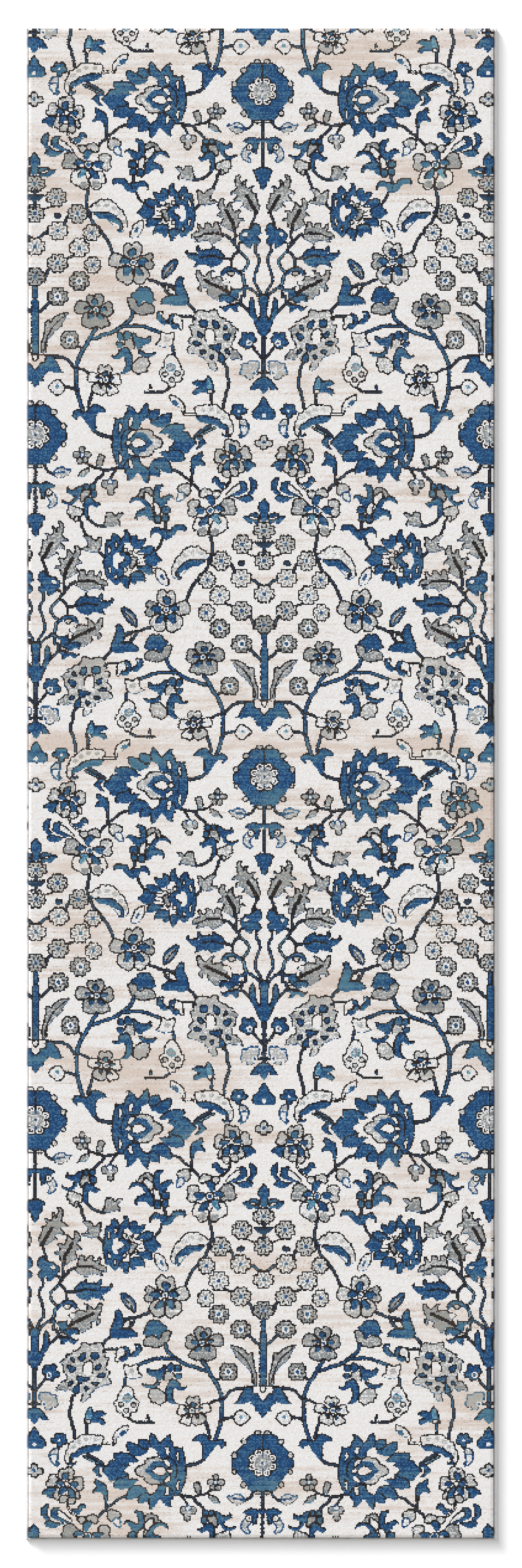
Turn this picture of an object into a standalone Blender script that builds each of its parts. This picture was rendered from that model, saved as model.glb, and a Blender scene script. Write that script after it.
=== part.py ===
"""A machine-woven runner rug, laid flat: cut pile, woven ground, back coat, corded edges and bound ends.

The rug lies on the XY plane with its length along Y. The origin is at the centre of its underside.
The ground weave is the rug's body. The pile stands on it, the coat sticks to its underside, a corded
and overcast edge runs down each long side, and a folded tape binds each short end.
"""

from math import cos, pi, radians, sin

import bmesh
import bpy

# Overall size, in metres.
WIDTH = 0.762
LENGTH = 2.438

# Layers, from the floor up.
COAT_THICKNESS = 0.0008
GROUND_THICKNESS = 0.0022
PILE_HEIGHT = 0.0074
PILE_ROUNDING = 0.0012

# Long edges: a cord wrapped in overcasting yarn.
OVERCAST_WIDTH = 0.0055
OVERCAST_HEIGHT = 0.0058
OVERCAST_WALL = 0.0009

# Short ends: a tape folded round the ground weave and sewn through.
TAPE_THICKNESS = 0.0008
TAPE_OVER = 0.0030
TAPE_UNDER = 0.0120
FOLD_RADIUS = 0.0012
THREAD_RADIUS = 0.0003

# Left between pieces that touch.
CLEARANCE = 0.0003

EDGE_SEGMENTS = 24
FOLD_SEGMENTS = 5
THREAD_STEPS = 16
ROUNDING_SEGMENTS = 3

# Heights and insets that follow from the sizes above.
GROUND_BASE = COAT_THICKNESS + CLEARANCE
GROUND_TOP = GROUND_BASE + GROUND_THICKNESS
FACE_BASE = GROUND_TOP + CLEARANCE
FIELD_WIDTH = WIDTH - 2 * (OVERCAST_WIDTH + CLEARANCE)
PILE_LENGTH = LENGTH - 2 * (TAPE_OVER + CLEARANCE)
GROUND_LENGTH = LENGTH - 2 * (TAPE_THICKNESS + CLEARANCE)
COAT_LENGTH = LENGTH - 2 * (TAPE_UNDER + CLEARANCE)
EDGE_CENTRE = (WIDTH - OVERCAST_WIDTH) / 2


def clear_scene():
    for obj in list(bpy.data.objects):
        bpy.data.objects.remove(obj, do_unlink=True)


def new_collection(name):
    collection = bpy.data.collections.new(name)
    bpy.context.scene.collection.children.link(collection)
    return collection


def fibre(name, colour, roughness):
    """A matt textile or coating material."""
    material = bpy.data.materials.new(name)
    material.use_nodes = True
    shader = material.node_tree.nodes["Principled BSDF"]
    shader.inputs["Base Color"].default_value = (*colour, 1.0)
    shader.inputs["Roughness"].default_value = roughness
    shader.inputs["Metallic"].default_value = 0.0
    return material


def add_object(name, data, material, collection):
    data.materials.append(material)
    obj = bpy.data.objects.new(name, data)
    collection.objects.link(obj)
    return obj


def layer(name, size, base, material, collection):
    """A flat rectangular layer, its underside at the height base."""
    shape = bmesh.new()
    bmesh.ops.create_cube(shape, size=1.0)
    bmesh.ops.scale(shape, vec=size, verts=shape.verts)
    mesh = bpy.data.meshes.new(name)
    shape.to_mesh(mesh)
    shape.free()
    obj = add_object(name, mesh, material, collection)
    obj.location = (0.0, 0.0, base + size[2] / 2)
    return obj


def round_top_edges(obj, radius):
    """Rounds the four upper edges of a layer and leaves its foot square."""
    mesh = obj.data
    weights = mesh.attributes.new("bevel_weight_edge", "FLOAT", "EDGE")
    for edge in mesh.edges:
        upper = all(mesh.vertices[index].co.z > 0 for index in edge.vertices)
        weights.data[edge.index].value = 1.0 if upper else 0.0
    rounding = obj.modifiers.new("rounding", "BEVEL")
    rounding.limit_method = "WEIGHT"
    rounding.width = radius
    rounding.segments = ROUNDING_SEGMENTS


def arc(centre, radius, start, end, segments):
    """Points on an arc, from one angle in degrees to another."""
    points = []
    for step in range(segments + 1):
        angle = radians(start + (end - start) * step / segments)
        points.append((centre[0] + radius * cos(angle), centre[1] + radius * sin(angle)))
    return points


def ellipse(half_width, half_height):
    """Points round an ellipse about the outline's own origin."""
    points = []
    for step in range(EDGE_SEGMENTS):
        angle = 2 * pi * step / EDGE_SEGMENTS
        points.append((half_width * cos(angle), half_height * sin(angle)))
    return points


def extrusion(name, outlines, length, material, collection):
    """A flat outline, with any hole as a second outline, drawn out to a length along its own Z."""
    curve = bpy.data.curves.new(name, "CURVE")
    curve.dimensions = "2D"
    curve.fill_mode = "BOTH"
    curve.extrude = length / 2
    for outline in outlines:
        spline = curve.splines.new("POLY")
        spline.points.add(len(outline) - 1)
        for point, (across, up) in zip(spline.points, outline):
            point.co = (across, up, 0.0, 1.0)
        spline.use_cyclic_u = True
    return add_object(name, curve, material, collection)


def edge_cord(name, side, material, collection):
    """The bundle of edge warps inside the overcasting of one long side."""
    inset = OVERCAST_WALL + CLEARANCE
    outline = ellipse(OVERCAST_WIDTH / 2 - inset, OVERCAST_HEIGHT / 2 - inset)
    obj = extrusion(name, [outline], LENGTH, material, collection)
    obj.location = (side * EDGE_CENTRE, 0.0, OVERCAST_HEIGHT / 2)
    obj.rotation_euler = (radians(90), 0.0, 0.0)


def overcasting(name, side, material, collection):
    """The sleeve of yarn wrapped round the cord of one long side, open at both ends."""
    outer = ellipse(OVERCAST_WIDTH / 2, OVERCAST_HEIGHT / 2)
    inner = ellipse(OVERCAST_WIDTH / 2 - OVERCAST_WALL, OVERCAST_HEIGHT / 2 - OVERCAST_WALL)
    obj = extrusion(name, [outer, inner], LENGTH, material, collection)
    obj.location = (side * EDGE_CENTRE, 0.0, OVERCAST_HEIGHT / 2)
    obj.rotation_euler = (radians(90), 0.0, 0.0)


def end_binding(name, end, material, collection):
    """The tape folded round one short end, drawn as seen along the rug's width, its fold outwards."""
    top = FACE_BASE + TAPE_THICKNESS
    inner_radius = FOLD_RADIUS - TAPE_THICKNESS
    wall = -TAPE_THICKNESS
    outline = [(-TAPE_UNDER, 0.0)]
    outline += arc((-FOLD_RADIUS, FOLD_RADIUS), FOLD_RADIUS, -90, 0, FOLD_SEGMENTS)
    outline += arc((-FOLD_RADIUS, top - FOLD_RADIUS), FOLD_RADIUS, 0, 90, FOLD_SEGMENTS)
    outline += [(-TAPE_OVER, top), (-TAPE_OVER, FACE_BASE)]
    outline += arc((wall - inner_radius, FACE_BASE - inner_radius), inner_radius, 90, 0, FOLD_SEGMENTS)
    outline += arc((wall - inner_radius, TAPE_THICKNESS + inner_radius), inner_radius, 0, -90, FOLD_SEGMENTS)
    outline += [(-TAPE_UNDER, TAPE_THICKNESS)]
    obj = extrusion(name, [outline], FIELD_WIDTH, material, collection)
    obj.location = (0.0, end * LENGTH / 2, 0.0)
    obj.rotation_euler = (radians(90), 0.0, end * radians(90))


def binding_thread(name, end, material, collection):
    """The sewing thread that lies along the upper face of one end's tape."""
    curve = bpy.data.curves.new(name, "CURVE")
    curve.dimensions = "3D"
    curve.bevel_depth = THREAD_RADIUS
    curve.bevel_resolution = 2
    curve.use_fill_caps = True
    spline = curve.splines.new("POLY")
    spline.points.add(THREAD_STEPS)
    for step, point in enumerate(spline.points):
        point.co = (FIELD_WIDTH * (step / THREAD_STEPS - 0.5), 0.0, 0.0, 1.0)
    obj = add_object(name, curve, material, collection)
    height = FACE_BASE + TAPE_THICKNESS + CLEARANCE + THREAD_RADIUS
    obj.location = (0.0, end * (LENGTH - TAPE_OVER) / 2, height)


def build():
    clear_scene()
    rug = new_collection("runner_rug")
    pile = fibre("pile_yarn", (0.62, 0.62, 0.62), 0.9)
    ground = fibre("ground_yarn", (0.66, 0.57, 0.43), 0.9)
    coat = fibre("back_coat", (0.70, 0.66, 0.58), 0.7)
    cord = fibre("cord_yarn", (0.74, 0.70, 0.62), 0.9)
    white_yarn = fibre("overcast_yarn", (0.86, 0.86, 0.87), 0.8)
    tape = fibre("binding_tape", (0.88, 0.88, 0.88), 0.8)
    thread = fibre("sewing_thread", (0.90, 0.90, 0.90), 0.6)

    layer("back_coat", (FIELD_WIDTH, COAT_LENGTH, COAT_THICKNESS), 0.0, coat, rug)
    layer("ground_weave", (FIELD_WIDTH, GROUND_LENGTH, GROUND_THICKNESS), GROUND_BASE, ground, rug)
    field = layer("pile_field", (FIELD_WIDTH, PILE_LENGTH, PILE_HEIGHT), FACE_BASE, pile, rug)
    round_top_edges(field, PILE_ROUNDING)
    for where, side in (("left", -1), ("right", 1)):
        edge_cord(f"edge_cord_{where}", side, cord, rug)
        overcasting(f"overcast_{where}", side, white_yarn, rug)
    for where, end in (("head", 1), ("foot", -1)):
        end_binding(f"end_binding_{where}", end, tape, rug)
        binding_thread(f"binding_thread_{where}", end, thread, rug)


build()
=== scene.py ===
"""A machine-woven pile runner rug with a half-drop pattern of palmettes, vines and blossoms.

The pattern is drawn as a weaver's cartoon: patches of yarn in millimetres, for one repeat of the
pattern. The pile is a lattice of tufts, and each tuft takes the yarn that the cartoon has there.
Round the pile come the ground weave, the overcast side cords and the folded end bindings.
"""

import logging
import math
from collections.abc import Callable
from dataclasses import dataclass, field
from enum import IntEnum

import bmesh
import bpy
import numpy as np
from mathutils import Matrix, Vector

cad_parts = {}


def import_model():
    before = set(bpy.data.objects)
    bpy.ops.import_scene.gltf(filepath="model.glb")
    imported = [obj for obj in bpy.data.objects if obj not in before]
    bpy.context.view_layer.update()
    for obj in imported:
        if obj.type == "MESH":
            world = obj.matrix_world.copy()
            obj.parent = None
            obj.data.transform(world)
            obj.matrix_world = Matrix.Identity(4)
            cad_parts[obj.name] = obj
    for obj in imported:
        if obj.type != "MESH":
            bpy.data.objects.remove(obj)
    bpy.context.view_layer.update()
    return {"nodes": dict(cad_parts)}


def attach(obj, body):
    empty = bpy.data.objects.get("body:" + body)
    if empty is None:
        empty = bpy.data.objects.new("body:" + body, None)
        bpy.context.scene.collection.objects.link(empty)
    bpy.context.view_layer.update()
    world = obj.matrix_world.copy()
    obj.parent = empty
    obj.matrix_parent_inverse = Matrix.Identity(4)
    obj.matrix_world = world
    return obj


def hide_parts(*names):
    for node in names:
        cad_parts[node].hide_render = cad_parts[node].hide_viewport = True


log = logging.getLogger("runner")
MM = 0.001
Point = tuple[float, float]


class Yarn(IntEnum):
    """The yarns of the pile, in the order of the colour ramps."""

    GROUND = 0
    WHITE = 1
    GREY = 2
    BLUE = 3
    TEAL = 4
    NAVY = 5
    LINE = 6
    SILVER = 7


# ---------------------------------------------------------------------------- the cartoon


def rounded(points: np.ndarray, closed: bool) -> np.ndarray:
    """Cuts the corners of an outline once, so that straight runs turn into soft bends.

    Args:
        points: The corners, one row each.
        closed: Whether the last corner joins the first.

    Returns:
        The softened outline, with twice as many points.
    """
    ahead = np.roll(points, -1, axis=0)
    pairs = np.stack([0.8 * points + 0.2 * ahead, 0.2 * points + 0.8 * ahead], axis=1)
    if closed:
        return pairs.reshape(-1, 2)
    return np.concatenate([points[:1], pairs[:-1].reshape(-1, 2)[1:-1], points[-1:]])


def distances(at: np.ndarray, starts: np.ndarray, ends: np.ndarray) -> tuple[np.ndarray, np.ndarray]:
    """Measures how far points lie from a run of straight segments.

    Args:
        at: The points, one row each.
        starts: The first end of each segment.
        ends: The second end of each segment.

    Returns:
        For each point the least distance, and the number of the segment it is from.
    """
    along = ends - starts
    reach = at[:, None, :] - starts[None]
    share = (reach * along[None]).sum(2) / np.maximum((along**2).sum(1), 1e-9)[None]
    off = reach - np.clip(share, 0, 1)[..., None] * along[None]
    square = (off**2).sum(2)
    nearest = square.argmin(1)
    return np.sqrt(square[np.arange(len(at)), nearest]), nearest


@dataclass
class Patch:
    """One area of a single yarn, with a drawn line round it.

    Attributes:
        outline: Its corners in the cartoon, in millimetres.
        yarn: The yarn inside.
        edge: The yarn of the line round it, or None for no line.
        foot: The yarn of the line where it faces the foot of the rug.
        line: Half the width of that line.
        stem_width: For a stem, its whole width; 0 for a closed outline.
    """

    outline: np.ndarray
    yarn: Yarn
    edge: Yarn | None
    foot: Yarn | None
    line: float
    stem_width: float = 0.0

    def dye(self, u: np.ndarray, v: np.ndarray, yarns: np.ndarray) -> None:
        """Gives its yarns to the tufts that it covers.

        Args:
            u: How far each tuft is across the cartoon.
            v: How far each tuft is down the cartoon.
            yarns: The yarn of each tuft, changed in place.
        """
        margin = self.stem_width / 2 + self.line + 0.1
        low, high = self.outline.min(0) - margin, self.outline.max(0) + margin
        near = np.flatnonzero((u > low[0]) & (u < high[0]) & (v > low[1]) & (v < high[1]))
        if not len(near):
            return
        at = np.stack([u[near], v[near]], axis=1)
        if self.stem_width:
            off, _ = distances(at, self.outline[:-1], self.outline[1:])
            yarns[near[off < self.stem_width / 2]] = int(self.edge)
            yarns[near[off < self.stem_width / 2 - 2 * self.line]] = int(self.yarn)
            return
        starts, ends = self.outline, np.roll(self.outline, -1, axis=0)
        off, nearest = distances(at, starts, ends)
        rises = (starts[None, :, 1] > at[:, 1:]) != (ends[None, :, 1] > at[:, 1:])
        fall = np.where(np.abs(ends[:, 1] - starts[:, 1]) < 1e-9, 1e-9, ends[:, 1] - starts[:, 1])
        crossing = starts[:, 0] + (at[:, 1:] - starts[:, 1]) * ((ends[:, 0] - starts[:, 0]) / fall)
        inside = (rises & (at[:, :1] < crossing)).sum(1) % 2 == 1
        yarns[near[inside]] = int(self.yarn)
        if self.edge is None:
            return
        turn = np.sign((starts[:, 0] * ends[:, 1] - ends[:, 0] * starts[:, 1]).sum())
        along = ends - starts
        length = np.maximum(np.hypot(along[:, 0], along[:, 1]), 1e-9)
        faces_foot = (-turn * along[:, 0] / length)[nearest] > 0.45
        on_line = off < self.line
        yarns[near[on_line & ~faces_foot]] = int(self.edge)
        if self.foot is not None:
            yarns[near[on_line & faces_foot & (inside | (self.foot == self.edge))]] = int(self.foot)


@dataclass
class Cartoon:
    """The pattern for one half-drop repeat, drawn in millimetres from the centre line of the rug.

    Attributes:
        fold: Where the centre line lies, across the cartoon.
        far_fold: Where the line lies that the pattern is mirrored on beside the side cord.
        drop: How far down the pattern comes again on the other fold.
        axis: How far down the great palmette's own axis lies.
        drawn: Half the width of the dark line round a patch.
        layer: The layer that patches are being laid in.
        patches: The patches of each layer, in the order that they are laid.
    """

    fold: float = -2.4
    far_fold: float = 365.9
    drop: float = 552.3
    axis: float = 16.6
    drawn: float = 1.3
    layer: str = "field"
    patches: dict[str, list[Patch]] = field(default_factory=dict)

    def lay(self, patch: Patch) -> None:
        """Lays a patch over what the layer holds so far."""
        self.patches.setdefault(self.layer, []).append(patch)

    def area(self, yarn: Yarn, *points: Point, edge: Yarn | None = Yarn.LINE,
             foot: Yarn | None = None, line: float | None = None) -> None:
        """Lays a closed patch, whose corners are given in millimetres.

        Args:
            yarn: The yarn inside.
            points: The corners, across and down.
            edge: The yarn of the line round it.
            foot: The yarn of the line where it faces the foot.
            line: Half the width of the line, where it isn't the usual one.
        """
        outline = rounded(np.array(points, float), closed=True)
        self.lay(Patch(outline, yarn, edge, foot, line or self.drawn))

    def blue(self, *points: Point) -> None:
        """Lays a deep blue patch, drawn round on all sides but the one to the foot."""
        self.area(Yarn.BLUE, *points)

    def grey(self, *points: Point, foot: Yarn = Yarn.TEAL) -> None:
        """Lays a heather grey patch, whose line is blue at the foot."""
        self.area(Yarn.GREY, *points, foot=foot)

    def white(self, *points: Point, foot: Yarn = Yarn.LINE) -> None:
        """Lays a white patch with a line all round."""
        self.area(Yarn.WHITE, *points, foot=foot)

    def window(self, *points: Point, yarn: Yarn = Yarn.WHITE) -> None:
        """Lays a pale patch inside a dark one, with a line all round."""
        self.area(yarn, *points, foot=Yarn.LINE, line=1.0)

    def lined(self, yarn: Yarn, *points: Point) -> None:
        """Lays a patch with a line all round."""
        self.area(yarn, *points, foot=Yarn.LINE)

    def bare(self, yarn: Yarn, *points: Point) -> None:
        """Lays a patch with no line round it."""
        self.area(yarn, *points, edge=None)

    def stem(self, width: float, *points: Point, yarn: Yarn = Yarn.NAVY,
             edge: Yarn = Yarn.LINE, line: float = 1.0) -> None:
        """Lays a stem of an even width along a run of points.

        Args:
            width: Its whole width with the two drawn lines.
            points: The run of its middle.
            yarn: The yarn inside.
            edge: The yarn of its two sides.
            line: Half the width of each side line.
        """
        run = rounded(np.array(points, float), closed=False)
        self.lay(Patch(run, yarn, edge, edge, line, width))

    def oval(self, yarn: Yarn, u: float, v: float, across: float, down: float,
             edge: Yarn | None = Yarn.LINE, line: float = 1.15) -> None:
        """Lays an oval patch.

        Args:
            yarn: The yarn inside.
            u: Its middle, across the cartoon.
            v: Its middle, down the cartoon.
            across: Half its width.
            down: Half its height.
            edge: The yarn of the line round it.
            line: Half the width of that line.
        """
        turn = np.linspace(0, 2 * math.pi, 14, endpoint=False)
        points = np.stack([u + across * np.cos(turn), v + down * np.sin(turn)], axis=1)
        self.lay(Patch(points, yarn, edge, edge, line))

    def blossom(self, u: float, v: float, across: float, down: float, yarn: Yarn,
                arm: float = 0.56, halo: bool = False) -> None:
        """Lays a cross-shaped blossom with a notch in each of its four arms and a blue eye.

        Args:
            u: Its middle, across the cartoon.
            v: Its middle, down the cartoon.
            across: Half its width.
            down: Half its height.
            yarn: The yarn of its petals.
            arm: How wide each arm is, as a share of the whole.
            halo: Whether white yarn rings the eye.
        """
        arm_u, arm_v = across * arm, down * arm
        quarter = [(across, 0.10 * down), (0.97 * across, 0.75 * arm_v), (0.86 * across, arm_v),
                   (1.02 * arm_u, 0.98 * arm_v), (arm_u, 0.90 * down), (0.78 * arm_u, 0.99 * down),
                   (0.14 * across, down)]
        ring = [(0.86 * across, 0.0), *quarter, (0.0, 0.88 * down)]
        ring += [(-p, q) for p, q in reversed([*quarter])]
        lower = [(p, -q) for p, q in reversed(ring[1:-1]) if abs(q) > 1e-6]
        outline = [(u + p, v + q) for p, q in ring + [(-0.86 * across, 0.0)]]
        outline += [(u + p, v + q) for p, q in lower[:7]] + [(u, v - 0.88 * down)]
        outline += [(u + p, v + q) for p, q in lower[7:]]
        self.area(yarn, *outline, foot=Yarn.LINE)
        fleck = Yarn.GREY if yarn is Yarn.WHITE else Yarn.LINE
        for number in range(8):
            turn = (number + 0.5) * math.pi / 4
            near = (u + 0.42 * across * math.cos(turn), v + 0.42 * down * math.sin(turn))
            far = (u + 0.72 * across * math.cos(turn), v + 0.72 * down * math.sin(turn))
            self.stem(2.0 if fleck is Yarn.LINE else 3.4, near, far, yarn=fleck, edge=fleck)
        if halo:
            self.oval(Yarn.WHITE, u, v, 6.2, 6.6, edge=None)
        self.oval(Yarn.BLUE, u, v, 3.1, 3.6, edge=None)

    def medallion(self) -> None:
        """Draws the blue medallion on the fold, with its lobed rosette and buds."""
        self.layer = "medallion"
        self.blue((-8, -43), (5, -44), (12, -44), (18, -42), (22, -38), (27, -27), (32, -23), (39, -16),
                  (43, -10), (46, -4), (48, 4), (47, 12), (42, 19), (38, 22), (32, 28), (30, 32), (26, 38),
                  (22, 42), (19, 48), (16, 49), (9, 50), (-8, 49))
        for u, v, across, down in ((27.5, -32, 5, 4.5), (43, -9, 4.5, 5), (43, 18, 3.4, 4.2),
                                   (28, 39, 4.5, 4.5), (5.5, -46.4, 5.5, 3.6), (5, 52, 5.5, 3.0)):
            self.oval(Yarn.SILVER, u, v, across, down)
        self.stem(1.8, (-2, -44), (-2, -20), yarn=Yarn.LINE)
        self.oval(Yarn.WHITE, -2.4, 3.2, 21.5, 21.5)
        for number in range(8):
            turn = (number + 0.5) * math.pi / 4
            u, v = -2.4 + 17.3 * math.cos(turn), 3.2 + 17.3 * math.sin(turn)
            self.oval(Yarn.WHITE, u, v, 7.0, 7.0)
            self.stem(2.2, (u - 2.5 * math.sin(turn), v + 2.5 * math.cos(turn)),
                      (u + 3.0 * math.cos(turn), v + 3.0 * math.sin(turn)),
                      (u + 2.5 * math.sin(turn), v - 2.5 * math.cos(turn)), yarn=Yarn.LINE)
        for number in range(8):
            turn = (number + 0.5) * math.pi / 4
            u, v = -2.4 + 9.5 * math.cos(turn), 3.2 + 9.5 * math.sin(turn)
            self.oval(Yarn.GREY, u, v, 5.2, 5.2, edge=Yarn.SILVER, line=0.6)
        self.oval(Yarn.SILVER, -2.4, 3.2, 6.5, 6.5, edge=None)
        for v in (-9.0, 3.2, 15.5):
            self.oval(Yarn.BLUE, -2.4, v, 1.6, 3.0, edge=None)
        self.layer = "field"

    def both(self, draw: Callable[..., None], *points: Point) -> None:
        """Draws a shape and its mirror image across the great palmette's own axis.

        Args:
            draw: What draws the shape.
            points: Its corners.
        """
        draw(*points)
        draw(*((u, 2 * self.axis - v) for u, v in points))

    def great_palmette(self) -> None:
        """Draws the great palmette beside the medallion, which opens away from the centre."""
        self.layer = "palmette"
        self.blue((125, -23), (127, -18), (124, -8), (122, 3), (121, 15), (121, 23), (122, 31), (124, 38),
                  (127, 45), (129, 51), (139, 56), (150, 50), (162, 38), (168, 20), (168, 13), (162, -5),
                  (150, -17), (139, -23), (131, -20))
        self.both(self.blue, (178, 80), (173, 76), (170, 72), (166, 65), (162, 62), (158, 68), (154, 72),
                  (150, 76), (144, 76), (147, 72), (146, 67), (142, 62), (142, 58), (139, 54), (144, 46),
                  (156, 38), (166, 40), (166, 44), (168, 48), (171, 52), (177, 55), (180, 56), (181, 64),
                  (180, 73))
        self.both(self.blue, (183, 52), (188, 51), (198, 59), (198, 65), (197, 69), (192, 69), (188, 68),
                  (182, 67), (181, 62), (178, 57))
        self.both(self.blue, (213, 47), (215, 50), (217, 57), (217, 61), (216, 64), (210, 64), (207, 62),
                  (200, 60), (197, 57), (188, 51), (183, 54), (182, 50), (183, 46), (187, 44), (192, 42),
                  (195, 40), (200, 40), (205, 40), (210, 43))
        self.blue((241, 0), (245, 2), (247, 8), (252, 10), (256, 14), (256, 18), (252, 22), (249, 25),
                  (246, 28), (245, 31), (242, 34), (238, 34), (233, 31), (230, 28), (222, 28), (216, 24),
                  (210, 24), (217, 21), (222, 16), (217, 11), (209, 10), (214, 7), (219, 7), (229, 2),
                  (234, -1))
        self.both(self.blue, (235, 33), (238, 38), (237, 46), (233, 45), (225, 47), (213, 45), (205, 40),
                  (200, 33), (194, 32), (200, 31), (206, 29), (209, 31), (214, 30), (213, 25), (216, 24),
                  (222, 28), (230, 28))
        self.bare(Yarn.GROUND, (184, 8), (186, 2), (192, 5), (205, 7), (214, 10), (220, 16), (214, 21),
                  (206, 26), (192, 31), (186, 34), (180, 30))
        self.bare(Yarn.GROUND, (168, -6), (168, -13), (173, -18), (181, -21), (186, -9), (198, -6),
                  (199, -2), (195, 2), (208, 5), (210, 11), (221, 17), (210, 22), (208, 28), (195, 31),
                  (199, 35), (198, 39), (186, 42), (181, 54), (173, 51), (168, 46), (168, 39))
        self.lined(Yarn.SILVER, (167, -6), (175, -5), (181, -4), (184, -2), (188, 1), (187, 5), (190, 6),
                   (195, 8), (200, 11), (203, 15), (202, 21), (198, 24), (188, 27), (188, 31), (184, 35),
                   (180, 38), (173, 39), (167, 38), (158, 36), (156, 16), (158, -2))
        self.area(Yarn.BLUE, (188, 16), (184, 13), (180, 8), (177, 3), (171, 1), (162, 0), (158, 1),
                  (154, 7), (151, 8), (149, 16), (150, 26), (154, 29), (158, 37), (161, 37), (167, 32),
                  (175, 30), (178, 25), (181, 22), (186, 19), edge=None)
        self.blue((158, -3), (151, -6), (143, -3), (137, 5), (135, 16), (137, 27), (144, 37), (152, 38),
                  (158, 37), (156, 30), (148, 26), (147, 16), (149, 7), (156, 2))
        self.window((159, -2), (152, -2), (148, 2), (146, 7), (146, 12), (151, 9), (153, 7), (158, 2))
        self.window((146, 23), (145, 31), (150, 35), (157, 37), (156, 31), (152, 27))
        self.window((177, 17), (171, 12), (165, 9), (158, 10), (155, 13), (152, 17), (154, 22), (160, 25),
                    (166, 23), (172, 21), yarn=Yarn.GROUND)
        self.window((153, 15), (147, 12), (142, 17), (142, 19), (148, 21), (152, 18))
        self.both(self.window, (154, 44), (148, 41), (147, 49), (149, 55), (152, 57), (156, 56), (154, 49))
        self.both(self.window, (131, 29), (135, 34), (138, 40), (136, 48), (132, 48), (132, 40))
        self.layer = "field"

    def second_palmette(self) -> None:
        """Draws the second palmette, which lies on its side below the great one."""
        self.blue((130, 160), (125, 156), (120, 160), (120, 168), (111, 168), (110, 185), (107, 199),
                  (107, 206), (109, 214), (112, 230), (117, 229), (121, 236), (128, 239), (134, 233),
                  (139, 222), (142, 211), (136, 205), (128, 203), (126, 199), (128, 193), (137, 189),
                  (142, 186), (137, 176), (134, 167))
        self.bare(Yarn.GROUND, (132, 187), (125, 188), (122, 198), (122, 206), (127, 213), (132, 212),
                  (129, 205), (136, 202), (141, 198), (138, 196), (131, 193))
        self.blue((150, 172), (149, 160), (148, 157), (145, 152), (140, 152), (142, 156), (141, 160),
                  (138, 164), (134, 168), (132, 175), (130, 181), (128, 184), (135, 187), (138, 182),
                  (139, 177), (141, 173), (145, 172))
        self.blue((175, 165), (169, 167), (162, 168), (161, 160), (158, 160), (154, 161), (151, 163),
                  (150, 168), (151, 175), (154, 179), (160, 182), (167, 181), (170, 177), (173, 173))
        self.blue((188, 178), (183, 177), (179, 176), (175, 178), (170, 179), (166, 183), (160, 188),
                  (167, 188), (172, 188), (173, 191), (182, 190), (186, 186), (188, 182))
        self.blue((202, 200), (196, 194), (192, 190), (192, 187), (188, 182), (186, 186), (182, 190),
                  (173, 192), (172, 197), (175, 199), (172, 204), (179, 206), (185, 209), (188, 210),
                  (192, 208), (195, 204))
        self.blue((186, 211), (177, 206), (172, 209), (162, 210), (161, 213), (167, 217), (170, 219),
                  (179, 222), (188, 222), (185, 216))
        self.blue((170, 219), (167, 217), (158, 217), (154, 219), (150, 220), (151, 227), (150, 233),
                  (154, 238), (159, 238), (160, 232), (167, 232), (172, 232), (174, 235), (174, 227))
        self.blue((150, 229), (148, 226), (142, 225), (138, 224), (133, 227), (133, 233), (139, 237),
                  (142, 243), (146, 246), (148, 238))
        self.bare(Yarn.SILVER, (158, 190), (148, 184), (141, 181), (146, 190), (152, 197), (146, 206),
                  (141, 216), (149, 213), (158, 208))
        self.lined(Yarn.GREY, (162, 195), (154, 193), (150, 196), (152, 199), (150, 204), (148, 210),
                   (152, 213), (156, 208), (161, 203))
        self.blue((154, 198), (150, 195), (146, 190), (139, 186), (133, 188), (134, 192), (141, 194),
                  (142, 198), (138, 202), (132, 206), (133, 212), (139, 213), (145, 210), (149, 204))
        self.oval(Yarn.WHITE, 142, 183.3, 3.4, 3.6)
        self.oval(Yarn.WHITE, 142, 214.5, 3.4, 3.6)
        self.oval(Yarn.SILVER, 151, 187.5, 3.2, 3.4)
        for run in (((172, 191), (162, 190), (156, 186), (155, 181)),
                    ((172, 208.5), (160, 208), (156, 212), (150, 217)),
                    ((168, 196), (161, 199), (158, 203)), ((170, 203), (163, 204), (157, 208))):
            self.stem(1.7, *run, yarn=Yarn.LINE)
        self.window((128, 168), (126, 172), (125, 179), (128, 178), (130, 175))
        self.window((126, 220), (129, 222), (128, 229), (126, 231), (124, 225))
        self.window((118, 177), (115, 176), (114, 182), (114, 190), (117, 189), (119, 184))
        self.window((115, 207), (114, 210), (115, 216), (116, 222), (120, 217), (118, 211))
        self.stem(5.5, (109, 194), (104, 190), (101, 187))

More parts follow.
